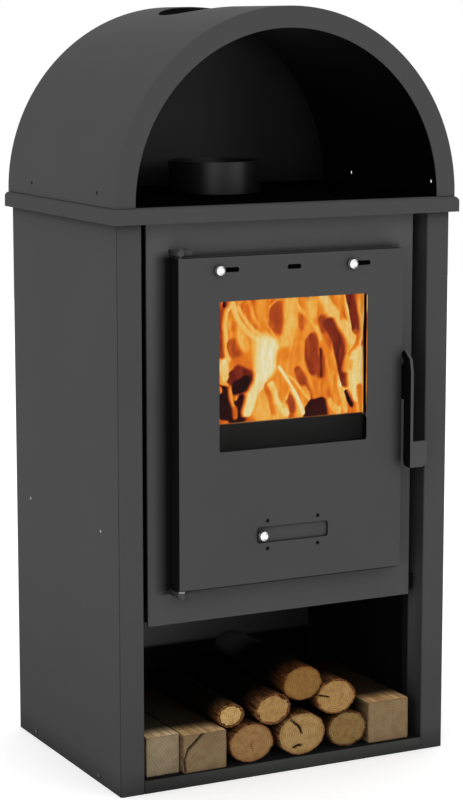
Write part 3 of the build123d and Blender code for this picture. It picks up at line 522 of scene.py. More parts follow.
# The front plate and the base rail are paler copies of the paint: painted light
face = dict(paint, color=(0.093, 0.093, 0.0935), crevice=0.15)
lever = dict(paint, color=(0.074, 0.074, 0.0745))
rail = dict(paint, color=(0.084, 0.088, 0.084))
collar = dict(paint, color=(0.012, 0.012, 0.0125), roughness=0.42)
screw = dict(paint, color=(0.045, 0.045, 0.045), roughness=0.45, mottleScale=90.0)
iron = dict(sooty, color=(0.03, 0.028, 0.027), mottle=0.3, grainScale=500.0, bump=0.8, bumpDepth=0.0006)
zinc = dict(
    paint, color=(0.30, 0.30, 0.29), mottle=0.25, mottleScale=120.0, roughness=0.4, roughSpread=0.3, crevice=0.6
)
nickel = dict(paint, color=(0.93, 0.93, 0.92), mottle=0.03, mottleScale=90.0, roughness=0.3)
nickel.update(bump=0.05, bumpDepth=0.0001, crevice=0.2, floorShade=0.0)
brick = dict(paint, color=(0.33, 0.25, 0.17), mottle=0.35, mottleScale=22.0, grainScale=420.0, roughness=0.92)
brick.update(bump=0.6, bumpDepth=0.0008, crevice=0.5, floorShade=0.0)


def sootySteel(name, color, gleam, **masks):
    return grainMaterial(name, dict(sooty, color=color), Specular_IOR_Level=gleam, **masks)


paintedSteel = grainMaterial("paintedSteel", paint, **dull)
casingPaint = grainMaterial("casingPaint", casing, insideCasing, 0.010, foldedReturns, **dull)
hoodPaint = grainMaterial("hoodPaint", paint, insideHood, **dull)
platePaint = grainMaterial("platePaint", paint, underHood, Specular_IOR_Level=0.0)
doorPaint = grainMaterial("doorPaint", paint, doorEdges, polished=windowEdges, **dull)
facePaint = grainMaterial("facePaint", face, besideDoor, lift=plateLight, **dull)
leverPaint = grainMaterial("leverPaint", lever, leverSides, Specular_IOR_Level=0.05)
railPaint = grainMaterial("railPaint", rail, insideStore, 0.001, railLight, **dull)
storeBackPaint = grainMaterial("storeBackPaint", storeBack, lift=storeBackLight, Specular_IOR_Level=0.05)
hoodBackPaint = grainMaterial("hoodBackPaint", hoodBack, lift=hoodBackLight, Specular_IOR_Level=0.2)
collarPaint = grainMaterial("collarPaint", collar, lift=collarPaintedSheen, Specular_IOR_Level=0.4)
darkSteel = sootySteel("darkSteel", (0.022, 0.022, 0.023), 0.2)
retainerSteel = sootySteel("retainerSteel", (0.010, 0.010, 0.0105), 0.25, fireLit=retainerEdge)
# Near black for the air wash slide and its guides: painted shade in the gaps where they sit
slideSteel = sootySteel("slideSteel", (0.001, 0.001, 0.001), 0.02)
# Near black for painted shade: the hood's feet, screws and seal bead and the guide rivets
sootBlack = sootySteel("sootBlack", (0.003, 0.003, 0.003), 0.05)
innerPlateSteel = sootySteel("innerPlateSteel", (0.004, 0.004, 0.004), 0.1, polished=windowEdges)
storeLining = sootySteel("storeLining", (0.008, 0.008, 0.0085), 0.1)
castIron = grainMaterial("castIron", iron)
fireBrick = grainMaterial("fireBrick", brick, Specular_IOR_Level=0.2)
zincPlate = grainMaterial("zincPlate", zinc, Metallic=0.9)
blackedScrew = grainMaterial("blackedScrew", screw, Specular_IOR_Level=0.4)
nickelPlate = grainMaterial("nickelPlate", nickel, Metallic=0.85)


def glassMaterial():
    material, tree, shader = newMaterial("doorGlass", Roughness=0.0, IOR=1.1, Transmission_Weight=1.0)
    haze = mottle(tree, objectPlace(tree), 11.0, 3.0)
    shares = ((0.99, 0.96), (0.985, 0.95), (0.97, 0.93))
    tone = vectorOf(tree, *[ramp(tree, haze, *share) for share in shares])
    tree.links.new(tone, shader.inputs["Base Color"])
    return material


doorGlass = glassMaterial()


def ropeMaterial():
    material, tree, shader = newMaterial("glassRope", Roughness=0.9, Specular_IOR_Level=0.2)
    x, y, z = partsOf(tree, objectPlace(tree))
    ways = (plus(tree, plus(tree, x, z), y), minus(tree, plus(tree, x, y), z))
    waves = [maths(tree, "SINE", times(tree, way, 1900.0)) for way in ways]
    braid = edge(tree, times(tree, *waves), -1.0, 1.0)
    color = mixColors(tree, braid, (0.03, 0.03, 0.03, 1), (0.11, 0.105, 0.1, 1))
    tree.links.new(color, shader.inputs["Base Color"])
    bump(tree, shader, braid, 0.8, 0.001)
    return material


glassRope = ropeMaterial()

# Frame nodes get their finishes; those not named here are painted steel
finishes = (
    (hoodPaint, ("hood_shell",)),
    (doorPaint, ("door_front",)),
    (facePaint, ("firebox_front",)),
    (leverPaint, ("handle_lever",)),
    (railPaint, ("base_tray",)),
    (retainerSteel, ("log_retainer",)),
    (slideSteel, ("air_wash_slide", "air_wash_guides")),
    (innerPlateSteel, ("door_inner_plate",)),
    (casingPaint, ("side_panel_left", "side_panel_right")),
    (storeBackPaint, ("back_panel",)),
    (hoodBackPaint, ("hood_back_plate",)),
    (platePaint, ("top_plate",)),
    (collarPaint, ("flue_collar",)),
    (doorGlass, ("door_glass",)),
    (glassRope, ("door_rope_seal", "glass_gasket")),
    (castIron, ("fire_grate",)),
    (fireBrick, ("floor_bricks", "side_brick_left", "side_brick_right", "back_bricks", "baffle_plate")),
    (nickelPlate, ("air_wash_knobs", "primary_knob")),
    (zincPlate, ("hinge_washer", "keeper_pin", "handle_spacer")),
    (blackedScrew, ("hinge_pins", "handle_pivot")),
    (storeLining, ("store_heat_shield",)),
    (sootBlack, ("hood_feet", "guide_rivets")),
    (darkSteel, ("ash_pan", "grate_shelf", "ash_floor_plate", "firebox_wrap", "firebox_top_plate")),
    (darkSteel, ("firebox_rail_left", "firebox_rail_right", "top_rails", "glass_clips", "primary_guides")),
    (darkSteel, ("hinge_bushes", "handle_backing")),
)
finishOf = {name: material for material, names in finishes for name in names}
for name in nodes:
    for slot in nodes[name].material_slots:
        slot.material = finishOf.get(name, paintedSteel)
print("frame nodes dressed:", len(finishOf), "with a finish of their own")


# Meshes from arrays, with a named number or colour at each point
def meshObject(name, points, faces, materials, faceMaterials=None):
    mesh = bpy.data.meshes.new(name)
    mesh.from_pydata(points, [], faces)
    for material in materials:
        mesh.materials.append(material)
    if faceMaterials is not None:
        mesh.polygons.foreach_set("material_index", faceMaterials)
    mesh.polygons.foreach_set("use_smooth", [True] * len(mesh.polygons))
    mesh.update()
    return addObject(name, mesh)


def addObject(name, content):
    thing = bpy.data.objects.new(name, content)
    scene.collection.objects.link(thing)
    return thing


def pointValue(thing, name, values):
    attribute = thing.data.attributes.new(name, "FLOAT", "POINT")
    attribute.data.foreach_set("value", values)


def pointColor(thing, name, colors):
    attribute = thing.data.attributes.new(name, "FLOAT_COLOR", "POINT")
    attribute.data.foreach_set("color", [value for color in colors for value in (*color, 1.0)])


def attributeOf(tree, name):
    return put(tree, "ShaderNodeAttribute", attribute_name=name, attribute_type="GEOMETRY").outputs


def wave(x, y, z):
    return noise.noise(Vector((x, y, z)))


# Firewood
def shadeOf(tree, tone, share):
    return mixColors(tree, 1.0, tone, (*share, 1), "MULTIPLY")


# Painted shade: the store is lit only near its mouth, so the wood's colour turns dusky and then black behind
def storeShadeOnWood(tree, color, place, barked=False):
    depth = partsOf(tree, place)[1]
    lit = ramp(tree, depth, 1.0, 0.18, -0.165, -0.130)
    keep = times(tree, lit, lit)
    if barked:
        keep = times(tree, keep, ramp(tree, depth, 1.0, 0.35, -0.1865, -0.165))
    return scaled(tree, color, keep)


def barkMaterial():
    material, tree, shader = newMaterial("bark", Roughness=0.92, Specular_IOR_Level=0.05)
    fibre = placeGroup(tree, woodFibre, Across=170.0, Along=26.0, Distortion=1.2)["Fibre"]
    place = objectPlace(tree)
    flakes = put(tree, "ShaderNodeTexVoronoi", {"Vector": place, "Scale": 120.0, "Randomness": 1.0})
    tone = attributeOf(tree, "tint")["Color"]
    dark, pale = shadeOf(tree, tone, (0.10, 0.07, 0.07)), shadeOf(tree, tone, (0.62, 0.42, 0.40))
    color = mixColors(tree, edge(tree, fibre, 0.35, 0.68), dark, pale)
    color = storeShadeOnWood(tree, color, place, barked=True)
    parts = partsOf(tree, place)
    tail = within(tree, (parts[2], 0.138, 0.170), (parts[1], -0.03, 0.03))
    tree.links.new(mixColors(tree, tail, color, (0.125, 0.125, 0.128, 1)), shader.inputs["Base Color"])
    height = plus(tree, fibre, times(tree, flakes.outputs["Distance"], 0.5))
    bump(tree, shader, height, 0.9, 0.0015)
    return material


def sawnMaterial(name, look):
    material, tree, shader = newMaterial(name, Roughness=0.82, Specular_IOR_Level=0.1)
    sizes = {"Ring_Width": look["ringWidth"], "Wobble": look["wobble"], "Contrast": look["contrast"]}
    wood = placeGroup(tree, woodRings, **sizes)
    tone = attributeOf(tree, "tint")["Color"]
    place = objectPlace(tree)
    blotch = mottle(tree, place, look["blotchScale"], 6.0, Roughness=0.65)
    fromMiddle = attributeOf(tree, "rim")["Fac"]
    masks = {
        "stain": edge(tree, blotch, 0.42, 0.66, look["blotch"]),
        "ray": edge(tree, wood["Rays"], 0.5, 0.72, 0.5),
        "late": wood["Rings"],
        "rim": edge(tree, fromMiddle, look["rimStart"], 0.98, look["rimStrength"]),
    }
    color = tone
    for label, mask in masks.items():
        color = mixColors(tree, mask, color, shadeOf(tree, tone, look[label]))
    color = mixColors(tree, attributeOf(tree, "crack")["Fac"], color, (0.012, 0.005, 0.003, 1))
    tree.links.new(storeShadeOnWood(tree, color, place), shader.inputs["Base Color"])
    bump(tree, shader, minus(tree, mottle(tree, place, 700.0), wood["Rings"]), 0.5, 0.0006)
    return material


def boardMaterial():
    material, tree, shader = newMaterial("sawnSides", Roughness=0.85, Specular_IOR_Level=0.1)
    fibre = placeGroup(tree, woodFibre, Across=260.0, Along=9.0, Distortion=0.5)["Fibre"]
    tone = attributeOf(tree, "tint")["Color"]
    place = objectPlace(tree)
    face = put(tree, "ShaderNodeNewGeometry").outputs["True Normal"]
    # Painted light: faces that look upward are paler, as if lit from above
    upward = edge(tree, partsOf(tree, face)[2], 0.6, 0.9)
    paintedLitTops = mixColors(tree, upward, tone, shadeOf(tree, tone, (3.2, 3.0, 2.7)))
    blend = edge(tree, fibre, 0.38, 0.6)
    color = mixColors(tree, blend, shadeOf(tree, paintedLitTops, (0.62, 0.52, 0.44)), paintedLitTops)
    tree.links.new(storeShadeOnWood(tree, color, place), shader.inputs["Base Color"])
    bump(tree, shader, fibre, 0.6, 0.0006)
    return material


# Stain, ray, late wood and rim are shares of the log's own tint
endLook = {
    "ringWidth": 0.0034,
    "wobble": 0.007,
    "contrast": 1.0,
    "blotch": 0.75,
    "blotchScale": 120.0,
    "stain": (0.66, 0.55, 0.45),
    "ray": (1.28, 1.22, 1.15),
    "late": (0.45, 0.34, 0.25),
    "rim": (0.55, 0.42, 0.34),
    "rimStart": 0.80,
    "rimStrength": 0.7,
}
blockLook = dict(endLook, ringWidth=0.0046, wobble=0.004, contrast=0.4, blotch=0.5, blotchScale=60.0)
blockLook.update(rimStart=0.9, rimStrength=0.3)
bark = barkMaterial()
sawnEnd = sawnMaterial("sawnEnd", endLook)
blockEnd = sawnMaterial("blockEnd", blockLook)
sawnSides = boardMaterial()


# The loose parts of a frame node, as low and high corners, so that each log replaces its own solid
def looseParts(node):
    mesh = node.data
    points = np.array([vertex.co[:] for vertex in mesh.vertices])
    keys = {}
    same = [keys.setdefault(tuple(np.round(point, 5)), index) for index, point in enumerate(points)]
    parent = list(range(len(points)))

    def root(index):
        while parent[index] != index:
            parent[index] = parent[parent[index]]
            index = parent[index]
        return index

    for polygon in mesh.polygons:
        corners = [root(same[index]) for index in polygon.vertices]
        for corner in corners[1:]:
            parent[root(corner)] = root(corners[0])
    groups = {}
    for index in range(len(points)):
        groups.setdefault(root(same[index]), []).append(index)
    return [(points[group].min(0), points[group].max(0)) for group in groups.values()]


# How far places are from a bent line
def fromLine(x, z, line):
    nearest = np.full_like(x, 1e9)
    for (x0, z0), (x1, z1) in zip(line, line[1:]):
        dx, dz = x1 - x0, z1 - z0
        along = np.clip(((x - x0) * dx + (z - z0) * dz) / (dx * dx + dz * dz), 0, 1)
        nearest = np.minimum(nearest, np.hypot(x - x0 - along * dx, z - z0 - along * dz))
    return nearest


# One stick of wood from front to back: rows along its length and rings across both ends.
# It gives points, faces, their materials, cracks, distances from the pith, tints and rims.
def stickMesh(low, high, look, outline, seed):
    middleX, middleZ = (low[0] + high[0]) / 2, (low[2] + high[2]) / 2
    halfX, halfZ = (high[0] - low[0]) / 2, (high[2] - low[2]) / 2
    around = len(outline)
    length = high[1] - low[1]
    rows = [0.0, 0.0012, 0.003, 0.006]
    while rows[-1] < length - 0.012:
        rows.append(rows[-1] + 0.0035 + 0.06 * rows[-1] ** 1.25)
    rows = [row for row in rows if row < length - 0.006] + [length - 0.003, length]
    points, faces, faceSlots, cracks, rims = [], [], [], [], []

    def skin(index, depth):
        x, z = outline[index]
        wander = wave(x * 2.2 + seed, z * 2.2, depth * 9.0) * look["wander"]
        ridge = noise.fractal(Vector((x * 9 + seed, z * 9, depth * 34.0)), 0.7, 2.1, 4) * look["ridge"]
        gap = 1.0 - look["inset"] + wander + ridge
        return middleX + x * halfX * gap, middleZ + z * halfZ * gap

    def addPoint(x, y, z, crack, rim):
        points.append((x, y, z))
        cracks.append(crack)
        rims.append(rim)

    def split(x, z, fromMiddleX, fromMiddleZ):
        deepest = 0.0
        for width, line in look["cracks"]:
            off = fromLine(fromMiddleX + 0.05 * wave(x * 90, z * 90, 3.0), fromMiddleZ, line)
            deepest = max(deepest, 1.0 - max(0.0, off - width * 0.5) / (width * 0.6))
        return deepest

    for row in rows:
        for index in range(around):
            x, z = skin(index, row)
            addPoint(x, low[1] + row, z, 0.0, 1.0)
    for step in range(len(rows) - 1):
        for index in range(around):
            a, b = step * around + index, step * around + (index + 1) % around
            faces.append((a, a + around, b + around, b))
            faceSlots.append(0)
    ringCount = look["rings"]
    for end, depthWay in ((0, 1), (len(rows) - 1, -1)):
        last = [end * around + index for index in range(around)]
        rim = [points[index] for index in last]
        for ring in range(1, ringCount):
            share = 1.0 - ring / ringCount
            current = []
            for rimX, rimY, rimZ in rim:
                x, z = middleX + (rimX - middleX) * share, middleZ + (rimZ - middleZ) * share
                crack = split(x, z, (x - middleX) / halfX, (z - middleZ) / halfZ) if depthWay > 0 else 0.0
                depth = 0.00035 * wave(x * 260, z * 260, seed) + look["crackDepth"] * crack
                current.append(len(points))
                addPoint(x, rimY + depthWay * depth, z, crack, share)
            for index in range(around):
                following = (index + 1) % around
                quad = (last[index], last[following], current[following], current[index])
                faces.append(quad if depthWay > 0 else quad[::-1])
                x, z = outline[index]
                barkWidth = look["bark"] * (1.0 + 0.5 * wave(x * 3, z * 3, seed))
                faceSlots.append(0 if ring / ringCount * min(halfX, halfZ) < barkWidth else 1)
            last = current
        centre = len(points)
        addPoint(middleX, rim[0][1], middleZ, 0.0, 0.0)
        for index in range(around):
            fan = (last[index], last[(index + 1) % around], centre)
            faces.append(fan if depthWay > 0 else fan[::-1])
            faceSlots.append(1)
    pithX, pithZ = middleX + look["pith"][0] * halfX, middleZ + look["pith"][1] * halfZ
    pith = [(point[0] - pithX, point[2] - pithZ) for point in points]
    return points, faces, faceSlots, cracks, pith, [look["tint"]] * len(points), rims


def joinSticks(name, sticks, materials):
    points, faces, slots, cracks, pith, tints, rims = joined = [[] for part in range(7)]
    for stick in sticks:
        start = len(points)
        for whole, part in zip(joined, stick):
            whole += [tuple(corner + start for corner in face) for face in part] if whole is faces else part
    thing = meshObject(name, points, faces, materials, slots)
    pointValue(thing, "crack", cracks)
    pointColor(thing, "tint", tints)
    pointValue(thing, "rim", rims)
    layer = thing.data.uv_layers.new(name="pith")
    corners = np.zeros(len(thing.data.loops), np.int32)
    thing.data.loops.foreach_get("vertex_index", corners)
    layer.data.foreach_set("uv", np.array(pith)[corners].ravel())
    return thing


circleOutline = [(math.cos(step * math.tau / 84), math.sin(step * math.tau / 84)) for step in range(84)]
logLook = {
    "wander": 0.035,
    "ridge": 0.03,
    "inset": 0.03,
    "rings": 22,
    "bark": 0.0022,
    "crackDepth": 0.004,
    "pith": (0.05, 0.0),
    "cracks": (),
    "tint": (0.55, 0.34, 0.15),
}
# What differs in each log, in the order of their middles from left to right; a crack is its width and line
logDetails = (
    {"tint": (0.62, 0.41, 0.16), "inset": 0.0, "bark": 0.0048},
    {"tint": (0.350, 0.205, 0.082), "pith": (0.0, 0.0), "cracks": ((0.012, ((0.0, 0.0), (0.02, -0.5))),)},
    {
        "tint": (0.445, 0.272, 0.100),
        "pith": (-0.15, 0.0),
        "bark": 0.0050,
        "ridge": 0.06,
        "cracks": ((0.10, ((0.45, 0.72), (0.62, 0.58))),),
    },
    {
        "tint": (0.430, 0.280, 0.112),
        "pith": (0.0, 0.05),
        "cracks": (
            (0.06, ((-0.42, 0.7), (-0.12, 0.38), (0.0, 0.02))),
            (0.075, ((-0.30, -0.60), (-0.14, -0.52), (-0.04, -0.55))),
        ),
    },
    {"tint": (0.285, 0.152, 0.044), "pith": (0.05, -0.05)},
    {
        "tint": (0.435, 0.264, 0.098),
        "bark": 0.0035,
        "cracks": ((0.055, ((-0.95, 0.22), (-0.6, 0.1), (-0.35, 0.02))),),
    },
    {"tint": (0.280, 0.180, 0.067), "pith": (0.25, 0.1), "bark": 0.0035},
)


def cutSticks(boxes, look, details, outline, seedStep):
    return [
        stickMesh(low, high, dict(look, **detail), outline, seedStep * order)
        for order, ((low, high), detail) in enumerate(zip(boxes, details))
    ]


logBoxes = sorted(looseParts(nodes["firewood_round_logs"]), key=lambda box: box[0][0] + box[1][0])
roundLogs = joinSticks("roundLogs", cutSticks(logBoxes, logLook, logDetails, circleOutline, 7.3), [bark, sawnEnd])
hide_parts("firewood_round_logs")
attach(roundLogs, "stove")
print("round logs:", len(logBoxes))


def squareOutline(count, corner):
    spots = []
    for step in range(count):
        turn = (step + 0.5) / count * 4
        side, along = int(turn), (turn % 1) * 2 - 1
        x, z = ((1, along), (-along, 1), (-1, -along), (along, -1))[side]
        far = max(0.0, math.hypot(max(0, abs(x) - 1 + corner), max(0, abs(z) - 1 + corner)) - corner)
        trim = 1.0 - far / math.hypot(x, z)
        spots.append((x * trim, z * trim))
    return spots


blockOutline = squareOutline(96, 0.06)
timberLook = dict(logLook, wander=0.012, ridge=0.006, inset=0.012, bark=0.0, rings=26, crackDepth=0.006)
timberDetails = (
    {"tint": (0.290, 0.230, 0.145), "pith": (-2.5, -1.5)},
    {
        "tint": (0.228, 0.161, 0.088),
        "pith": (1.6, 1.4),
        "cracks": (
            (0.07, ((-0.1, 0.9), (-0.4, 0.6), (-0.75, 0.2))),
            (0.05, ((-0.75, 0.2), (-0.92, -0.3), (-0.88, -0.95))),
        ),
    },
    {"tint": (0.262, 0.179, 0.095), "pith": (0.0, -0.7)},
)
timberBoxes = sorted(looseParts(nodes["firewood_timbers"]), key=lambda box: box[0][0])
timbers = cutSticks(timberBoxes, timberLook, timberDetails, blockOutline, 3.1)
sawnTimbers = joinSticks("sawnTimbers", timbers, [sawnSides, blockEnd])
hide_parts("firewood_timbers")
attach(sawnTimbers, "stove")
print("firewood stacked")


# What repeats or follows a path is made by Geometry Nodes, with named inputs
def geometryTree(name, inputs):
    tree = bpy.data.node_groups.new(name, "GeometryNodeTree")
    tree.interface.new_socket("Geometry", in_out="INPUT", socket_type="NodeSocketGeometry")
    addInputs(tree, dict(inputs, Material=None))
    tree.interface.new_socket("Geometry", in_out="OUTPUT", socket_type="NodeSocketGeometry")
    return tree, put(tree, "NodeGroupInput").outputs, put(tree, "NodeGroupOutput").inputs


def endTree(tree, geometry, material, out):
    real = make(tree, "GeometryNodeRealizeInstances", {0: geometry})
    painted = make(tree, "GeometryNodeSetMaterial", {"Geometry": real, "Material": material})
    tree.links.new(painted, out[0])


# Runs a tree over points or a path and keeps the result as a plain mesh
def growMesh(name, tree, points, edges, smooth=40.0, **values):
    seed = bpy.data.meshes.new(name + "Seed")
    seed.from_pydata(points, edges, [])
    holder = addObject(name + "Seed", seed)
    modifier = holder.modifiers.new("grow", "NODES")
    modifier.node_group = tree
    sockets = {item.name: item.identifier for item in tree.interface.items_tree if item.in_out == "INPUT"}
    for label, value in values.items():
        modifier[sockets[label.replace("_", " ")]] = value
    bpy.context.view_layer.update()
    grown = holder.evaluated_get(bpy.context.evaluated_depsgraph_get())
    mesh = bpy.data.meshes.new_from_object(grown)
    bpy.data.objects.remove(holder)
    bpy.data.meshes.remove(seed)
    mesh.name = name
    mesh.polygons.foreach_set("use_smooth", [True] * len(mesh.polygons))
    mesh.set_sharp_from_angle(angle=math.radians(smooth))
    return addObject(name, mesh)


# A bead of sealant along a path
def buildBead():
    tree, given, out = geometryTree("sealBead", {"Radius": 0.001, "Sides": 12})
    path = make(tree, "GeometryNodeMeshToCurve", {0: given["Geometry"]})
    even = make(tree, "GeometryNodeResampleCurve", {"Curve": path, "Count": 90})
    rim = make(tree, "GeometryNodeCurvePrimitiveCircle", {"Resolution": given["Sides"], "Radius": given["Radius"]})
    swept = make(tree, "GeometryNodeCurveToMesh", {"Curve": even, "Profile Curve": rim, "Fill Caps": True})
    endTree(tree, swept, given["Material"], out)
    return tree


# Rope laid up from strands that wind round a closed path
def buildRope():
    inputs = {"Strand Radius": 0.0016, "Lay Radius": 0.0018, "Turns": 70.0, "Steps": 900}
    tree, given, out = geometryTree("laidRope", inputs)
    path = make(tree, "GeometryNodeMeshToCurve", {0: given["Geometry"]})
    even = make(tree, "GeometryNodeResampleCurve", {"Curve": path, "Count": given["Steps"]})
    share = put(tree, "GeometryNodeSplineParameter").outputs["Factor"]
    normal = make(tree, "GeometryNodeInputNormal")
    tangent = make(tree, "GeometryNodeInputTangent")
    rim = make(tree, "GeometryNodeCurvePrimitiveCircle", {"Resolution": 7, "Radius": given["Strand Radius"]})
    joined = put(tree, "GeometryNodeJoinGeometry")
    strands = 3
    for strand in range(strands):
        angle = plus(tree, times(tree, share, given["Turns"], math.tau), math.tau * strand / strands)
        around = make(tree, "ShaderNodeVectorRotate", {"Vector": normal, "Axis": tangent, "Angle": angle})
        moved = scaled(tree, around, given["Lay Radius"])
        wound = make(tree, "GeometryNodeSetPosition", {"Geometry": even, "Offset": moved})
        swept = make(tree, "GeometryNodeCurveToMesh", {"Curve": wound, "Profile Curve": rim})
        tree.links.new(swept, joined.inputs[0])
    endTree(tree, joined.outputs[0], given["Material"], out)
    return tree


# A pan head with a round recess and its shank, on every point; the head looks along Z before it is turned
def buildFasteners():
    inputs = {"Head Radius": 0.0038, "Head Height": 0.002, "Shank Radius": 0.0025, "Shank Length": 0.006}
    inputs.update({"Recess": 0.45, "Turn": (0.0, 0.0, 0.0)})
    tree, given, out = geometryTree("panHeads", inputs)

    def cylinder(sides, radius, height):
        sockets = {"Vertices": sides, "Radius": radius, "Depth": height}
        return put(tree, "GeometryNodeMeshCylinder", sockets, fill_type="NGON").outputs

    def shifted(mesh, height):
        lift = vectorOf(tree, z=height)
        return make(tree, "GeometryNodeTransform", {"Geometry": mesh, "Translation": lift})

    rimHeight = times(tree, given["Head Height"], 0.45)
    head = cylinder(24, given["Head Radius"], rimHeight)
    body = shifted(head["Mesh"], times(tree, rimHeight, 0.5))
    chosen = head["Top"]
    # Each step raises the top by a share of the head's height, then shrinks it
    for rise, shrink in ((0.25, 0.93), (0.2, 0.82), (0.1, 0.6), (0.0, given["Recess"]), (-0.6, 0.75)):
        offset = times(tree, given["Head Height"], rise)
        sockets = {"Mesh": body, "Selection": chosen, "Offset Scale": offset, "Individual": False}
        raised = put(tree, "GeometryNodeExtrudeMesh", sockets).outputs
        chosen = raised["Top"]
        sockets = {"Geometry": raised["Mesh"], "Selection": chosen, "Scale": shrink}
        body = make(tree, "GeometryNodeScaleElements", sockets)
    shank = cylinder(16, given["Shank Radius"], given["Shank Length"])["Mesh"]
    low = shifted(shank, times(tree, given["Shank Length"], -0.5))
    joined = put(tree, "GeometryNodeJoinGeometry")
    for geometry in (body, low):
        tree.links.new(geometry, joined.inputs[0])
    sockets = {"Points": given["Geometry"], "Instance": joined.outputs[0], "Rotation": given["Turn"]}
    endTree(tree, make(tree, "GeometryNodeInstanceOnPoints", sockets), given["Material"], out)
    return tree


sealBead = buildBead()
hoodFoot = {"x": 0.2930, "front": -0.1965, "back": 0.2233, "height": 0.9088, "radius": 0.0008}
footCorners = ((-1, "front"), (-1, "back"), (1, "back"), (1, "front"))
foot = [(side * hoodFoot["x"], hoodFoot[end], hoodFoot["height"]) for side, end in footCorners]
hoodSeal = growMesh(
    "hoodSeal", sealBead, foot, [(0, 1), (1, 2), (2, 3)], Radius=hoodFoot["radius"], Material=sootBlack
)
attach(hoodSeal, "stove")
print("hood sealed")

laidRope = buildRope()
ropeLow, ropeHigh = looseParts(nodes["door_rope_seal"])[0]
ropeSize = {"strand": 0.0017, "lay": 0.0018, "turns": 80.0, "corner": 0.03, "cornerSteps": 8}
ropeReach = ropeSize["strand"] + ropeSize["lay"]


def roundedLoop(low, high, depth, corner, steps):
    spots = []
    for x, z, first in ((high[0], high[2], 0), (low[0], high[2], 1), (low[0], low[2], 2), (high[0], low[2], 3)):
        inX = x - math.copysign(corner, x)
        inZ = z - corner if first < 2 else z + corner
        for step in range(steps + 1):
            turn = math.pi / 2 * (first + step / steps)
            spots.append((inX + corner * math.cos(turn), depth, inZ + corner * math.sin(turn)))
    return spots


ropeDepth = (ropeLow[1] + ropeHigh[1]) / 2
ropePath = roundedLoop(
    ropeLow + ropeReach, ropeHigh - ropeReach, ropeDepth, ropeSize["corner"], ropeSize["cornerSteps"]
)
ropeSeal = growMesh(
    "ropeSeal",
    laidRope,
    ropePath,
    [(index, (index + 1) % len(ropePath)) for index in range(len(ropePath))],
    Strand_Radius=ropeSize["strand"],
    Lay_Radius=ropeSize["lay"],
    Turns=ropeSize["turns"],
    Material=glassRope,
)
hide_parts("door_rope_seal")
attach(ropeSeal, "door")
print("door rope laid:", len(ropeSeal.data.polygons), "faces")

panHeads = buildFasteners()


def turnScrews(name, points, direction, headRadius, headHeight, shankRadius, shankLength, finish):
    return growMesh(
        name,
        panHeads,
        points,
        [],
        smooth=30.0,
        Head_Radius=headRadius,
        Head_Height=headHeight,
        Shank_Radius=shankRadius,
        Shank_Length=shankLength,
        Turn=tuple(Vector((0.0, 0.0, 1.0)).rotation_difference(direction).to_euler()),
        Material=finish,
    )


# Node, finish, slot, body, the axis that the heads look along, which way (0 is away from the
# middle) and the height of a head
fastenerKinds = (
    ("base_screws", blackedScrew, "dark_steel", "stove", 0, 0, 0.0020),
    ("back_screws", blackedScrew, "dark_steel", "stove", 1, 1, 0.0020),
    ("hood_screws", sootBlack, "dark_steel", "stove", 2, 1, 0.0020),
    ("clip_screws", zincPlate, "bright_steel", "door", 1, 1, 0.0028),
)
for name, finish, slot, body, axis, way, headHeight in fastenerKinds:
    spots = {}
    for low, high in looseParts(nodes[name]):
        facing = way or (1 if low[axis] + high[axis] > 0 else -1)
        middle = (low + high) / 2
        middle[axis] = (high[axis] if facing > 0 else low[axis]) - facing * headHeight
        spots.setdefault(facing, []).append(tuple(middle))
        width = min(high[other] - low[other] for other in range(3) if other != axis)
        length = max(high[axis] - low[axis] - headHeight, 0.0002)
    for facing, points in spots.items():
        side = name + ("Right" if facing > 0 else "Left")
        direction = Vector([float(facing) if other == axis else 0.0 for other in range(3)])
        piece = turnScrews(side, points, direction, width / 2, headHeight, width / 3.4, length, finish)
        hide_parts(name)
        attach(piece, body)

# Two small screws half way up each side panel, which hold the firebox
sideScrews = {
    "x": 0.2899,
    "depths": (-0.1245, 0.1600),
    "height": 0.4075,
    "radius": 0.0026,
    "head": 0.0011,
    "shankShare": 0.55,
    "shank": 0.0015,
}
for name, facing in (("sideScrewsLeft", -1.0), ("sideScrewsRight", 1.0)):
    spots = [(facing * sideScrews["x"], depth, sideScrews["height"]) for depth in sideScrews["depths"]]
    radius = sideScrews["radius"]
    shankRadius = radius * sideScrews["shankShare"]
    direction = Vector((facing, 0.0, 0.0))
    piece = turnScrews(
        name, spots, direction, radius, sideScrews["head"], shankRadius, sideScrews["shank"], zincPlate
    )
    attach(piece, "stove")
print("fasteners turned")

# Fire behind the log retainer, in metres. It fills the window's view, which is the frame of the strokes.
flame = {
    "left": -0.171,
    "right": 0.171,
    "bottom": 0.4925,
    "top": 0.796,
    "tip": 0.772,
    "fade": 0.02,
    "depth": frontY + 0.050,
    "relief": 0.012,
    "sway": 0.006,
    "thinnest": 0.0006,
    "thickness": 0.004,
    "step": 0.0017,
    "viewLeft": -0.0963,
    "viewWidth": 0.2652,
    "viewBottom": 0.5659,
    "viewHeight": 0.1884,
}
# A layer of noise is its strength, its scales across and upward per millimetre, and its seed
flameNoise = {
    "ground": 0.58,
    "tongues": ((0.42, 0.045, 0.011, 4.0), (0.22, 0.11, 0.03, 9.0)),
    "bendAcross": ((2.4, 0.06, 0.03, 20.0), (0.9, 0.2, 0.09, 31.0)),
    "bendUpward": ((2.8, 0.05, 0.03, 50.0),),
    "streaks": ((0.085, 0.16, 0.035, 70.0), (0.06, 0.28, 0.1, 90.0)),
    "cooler": 0.03,
}
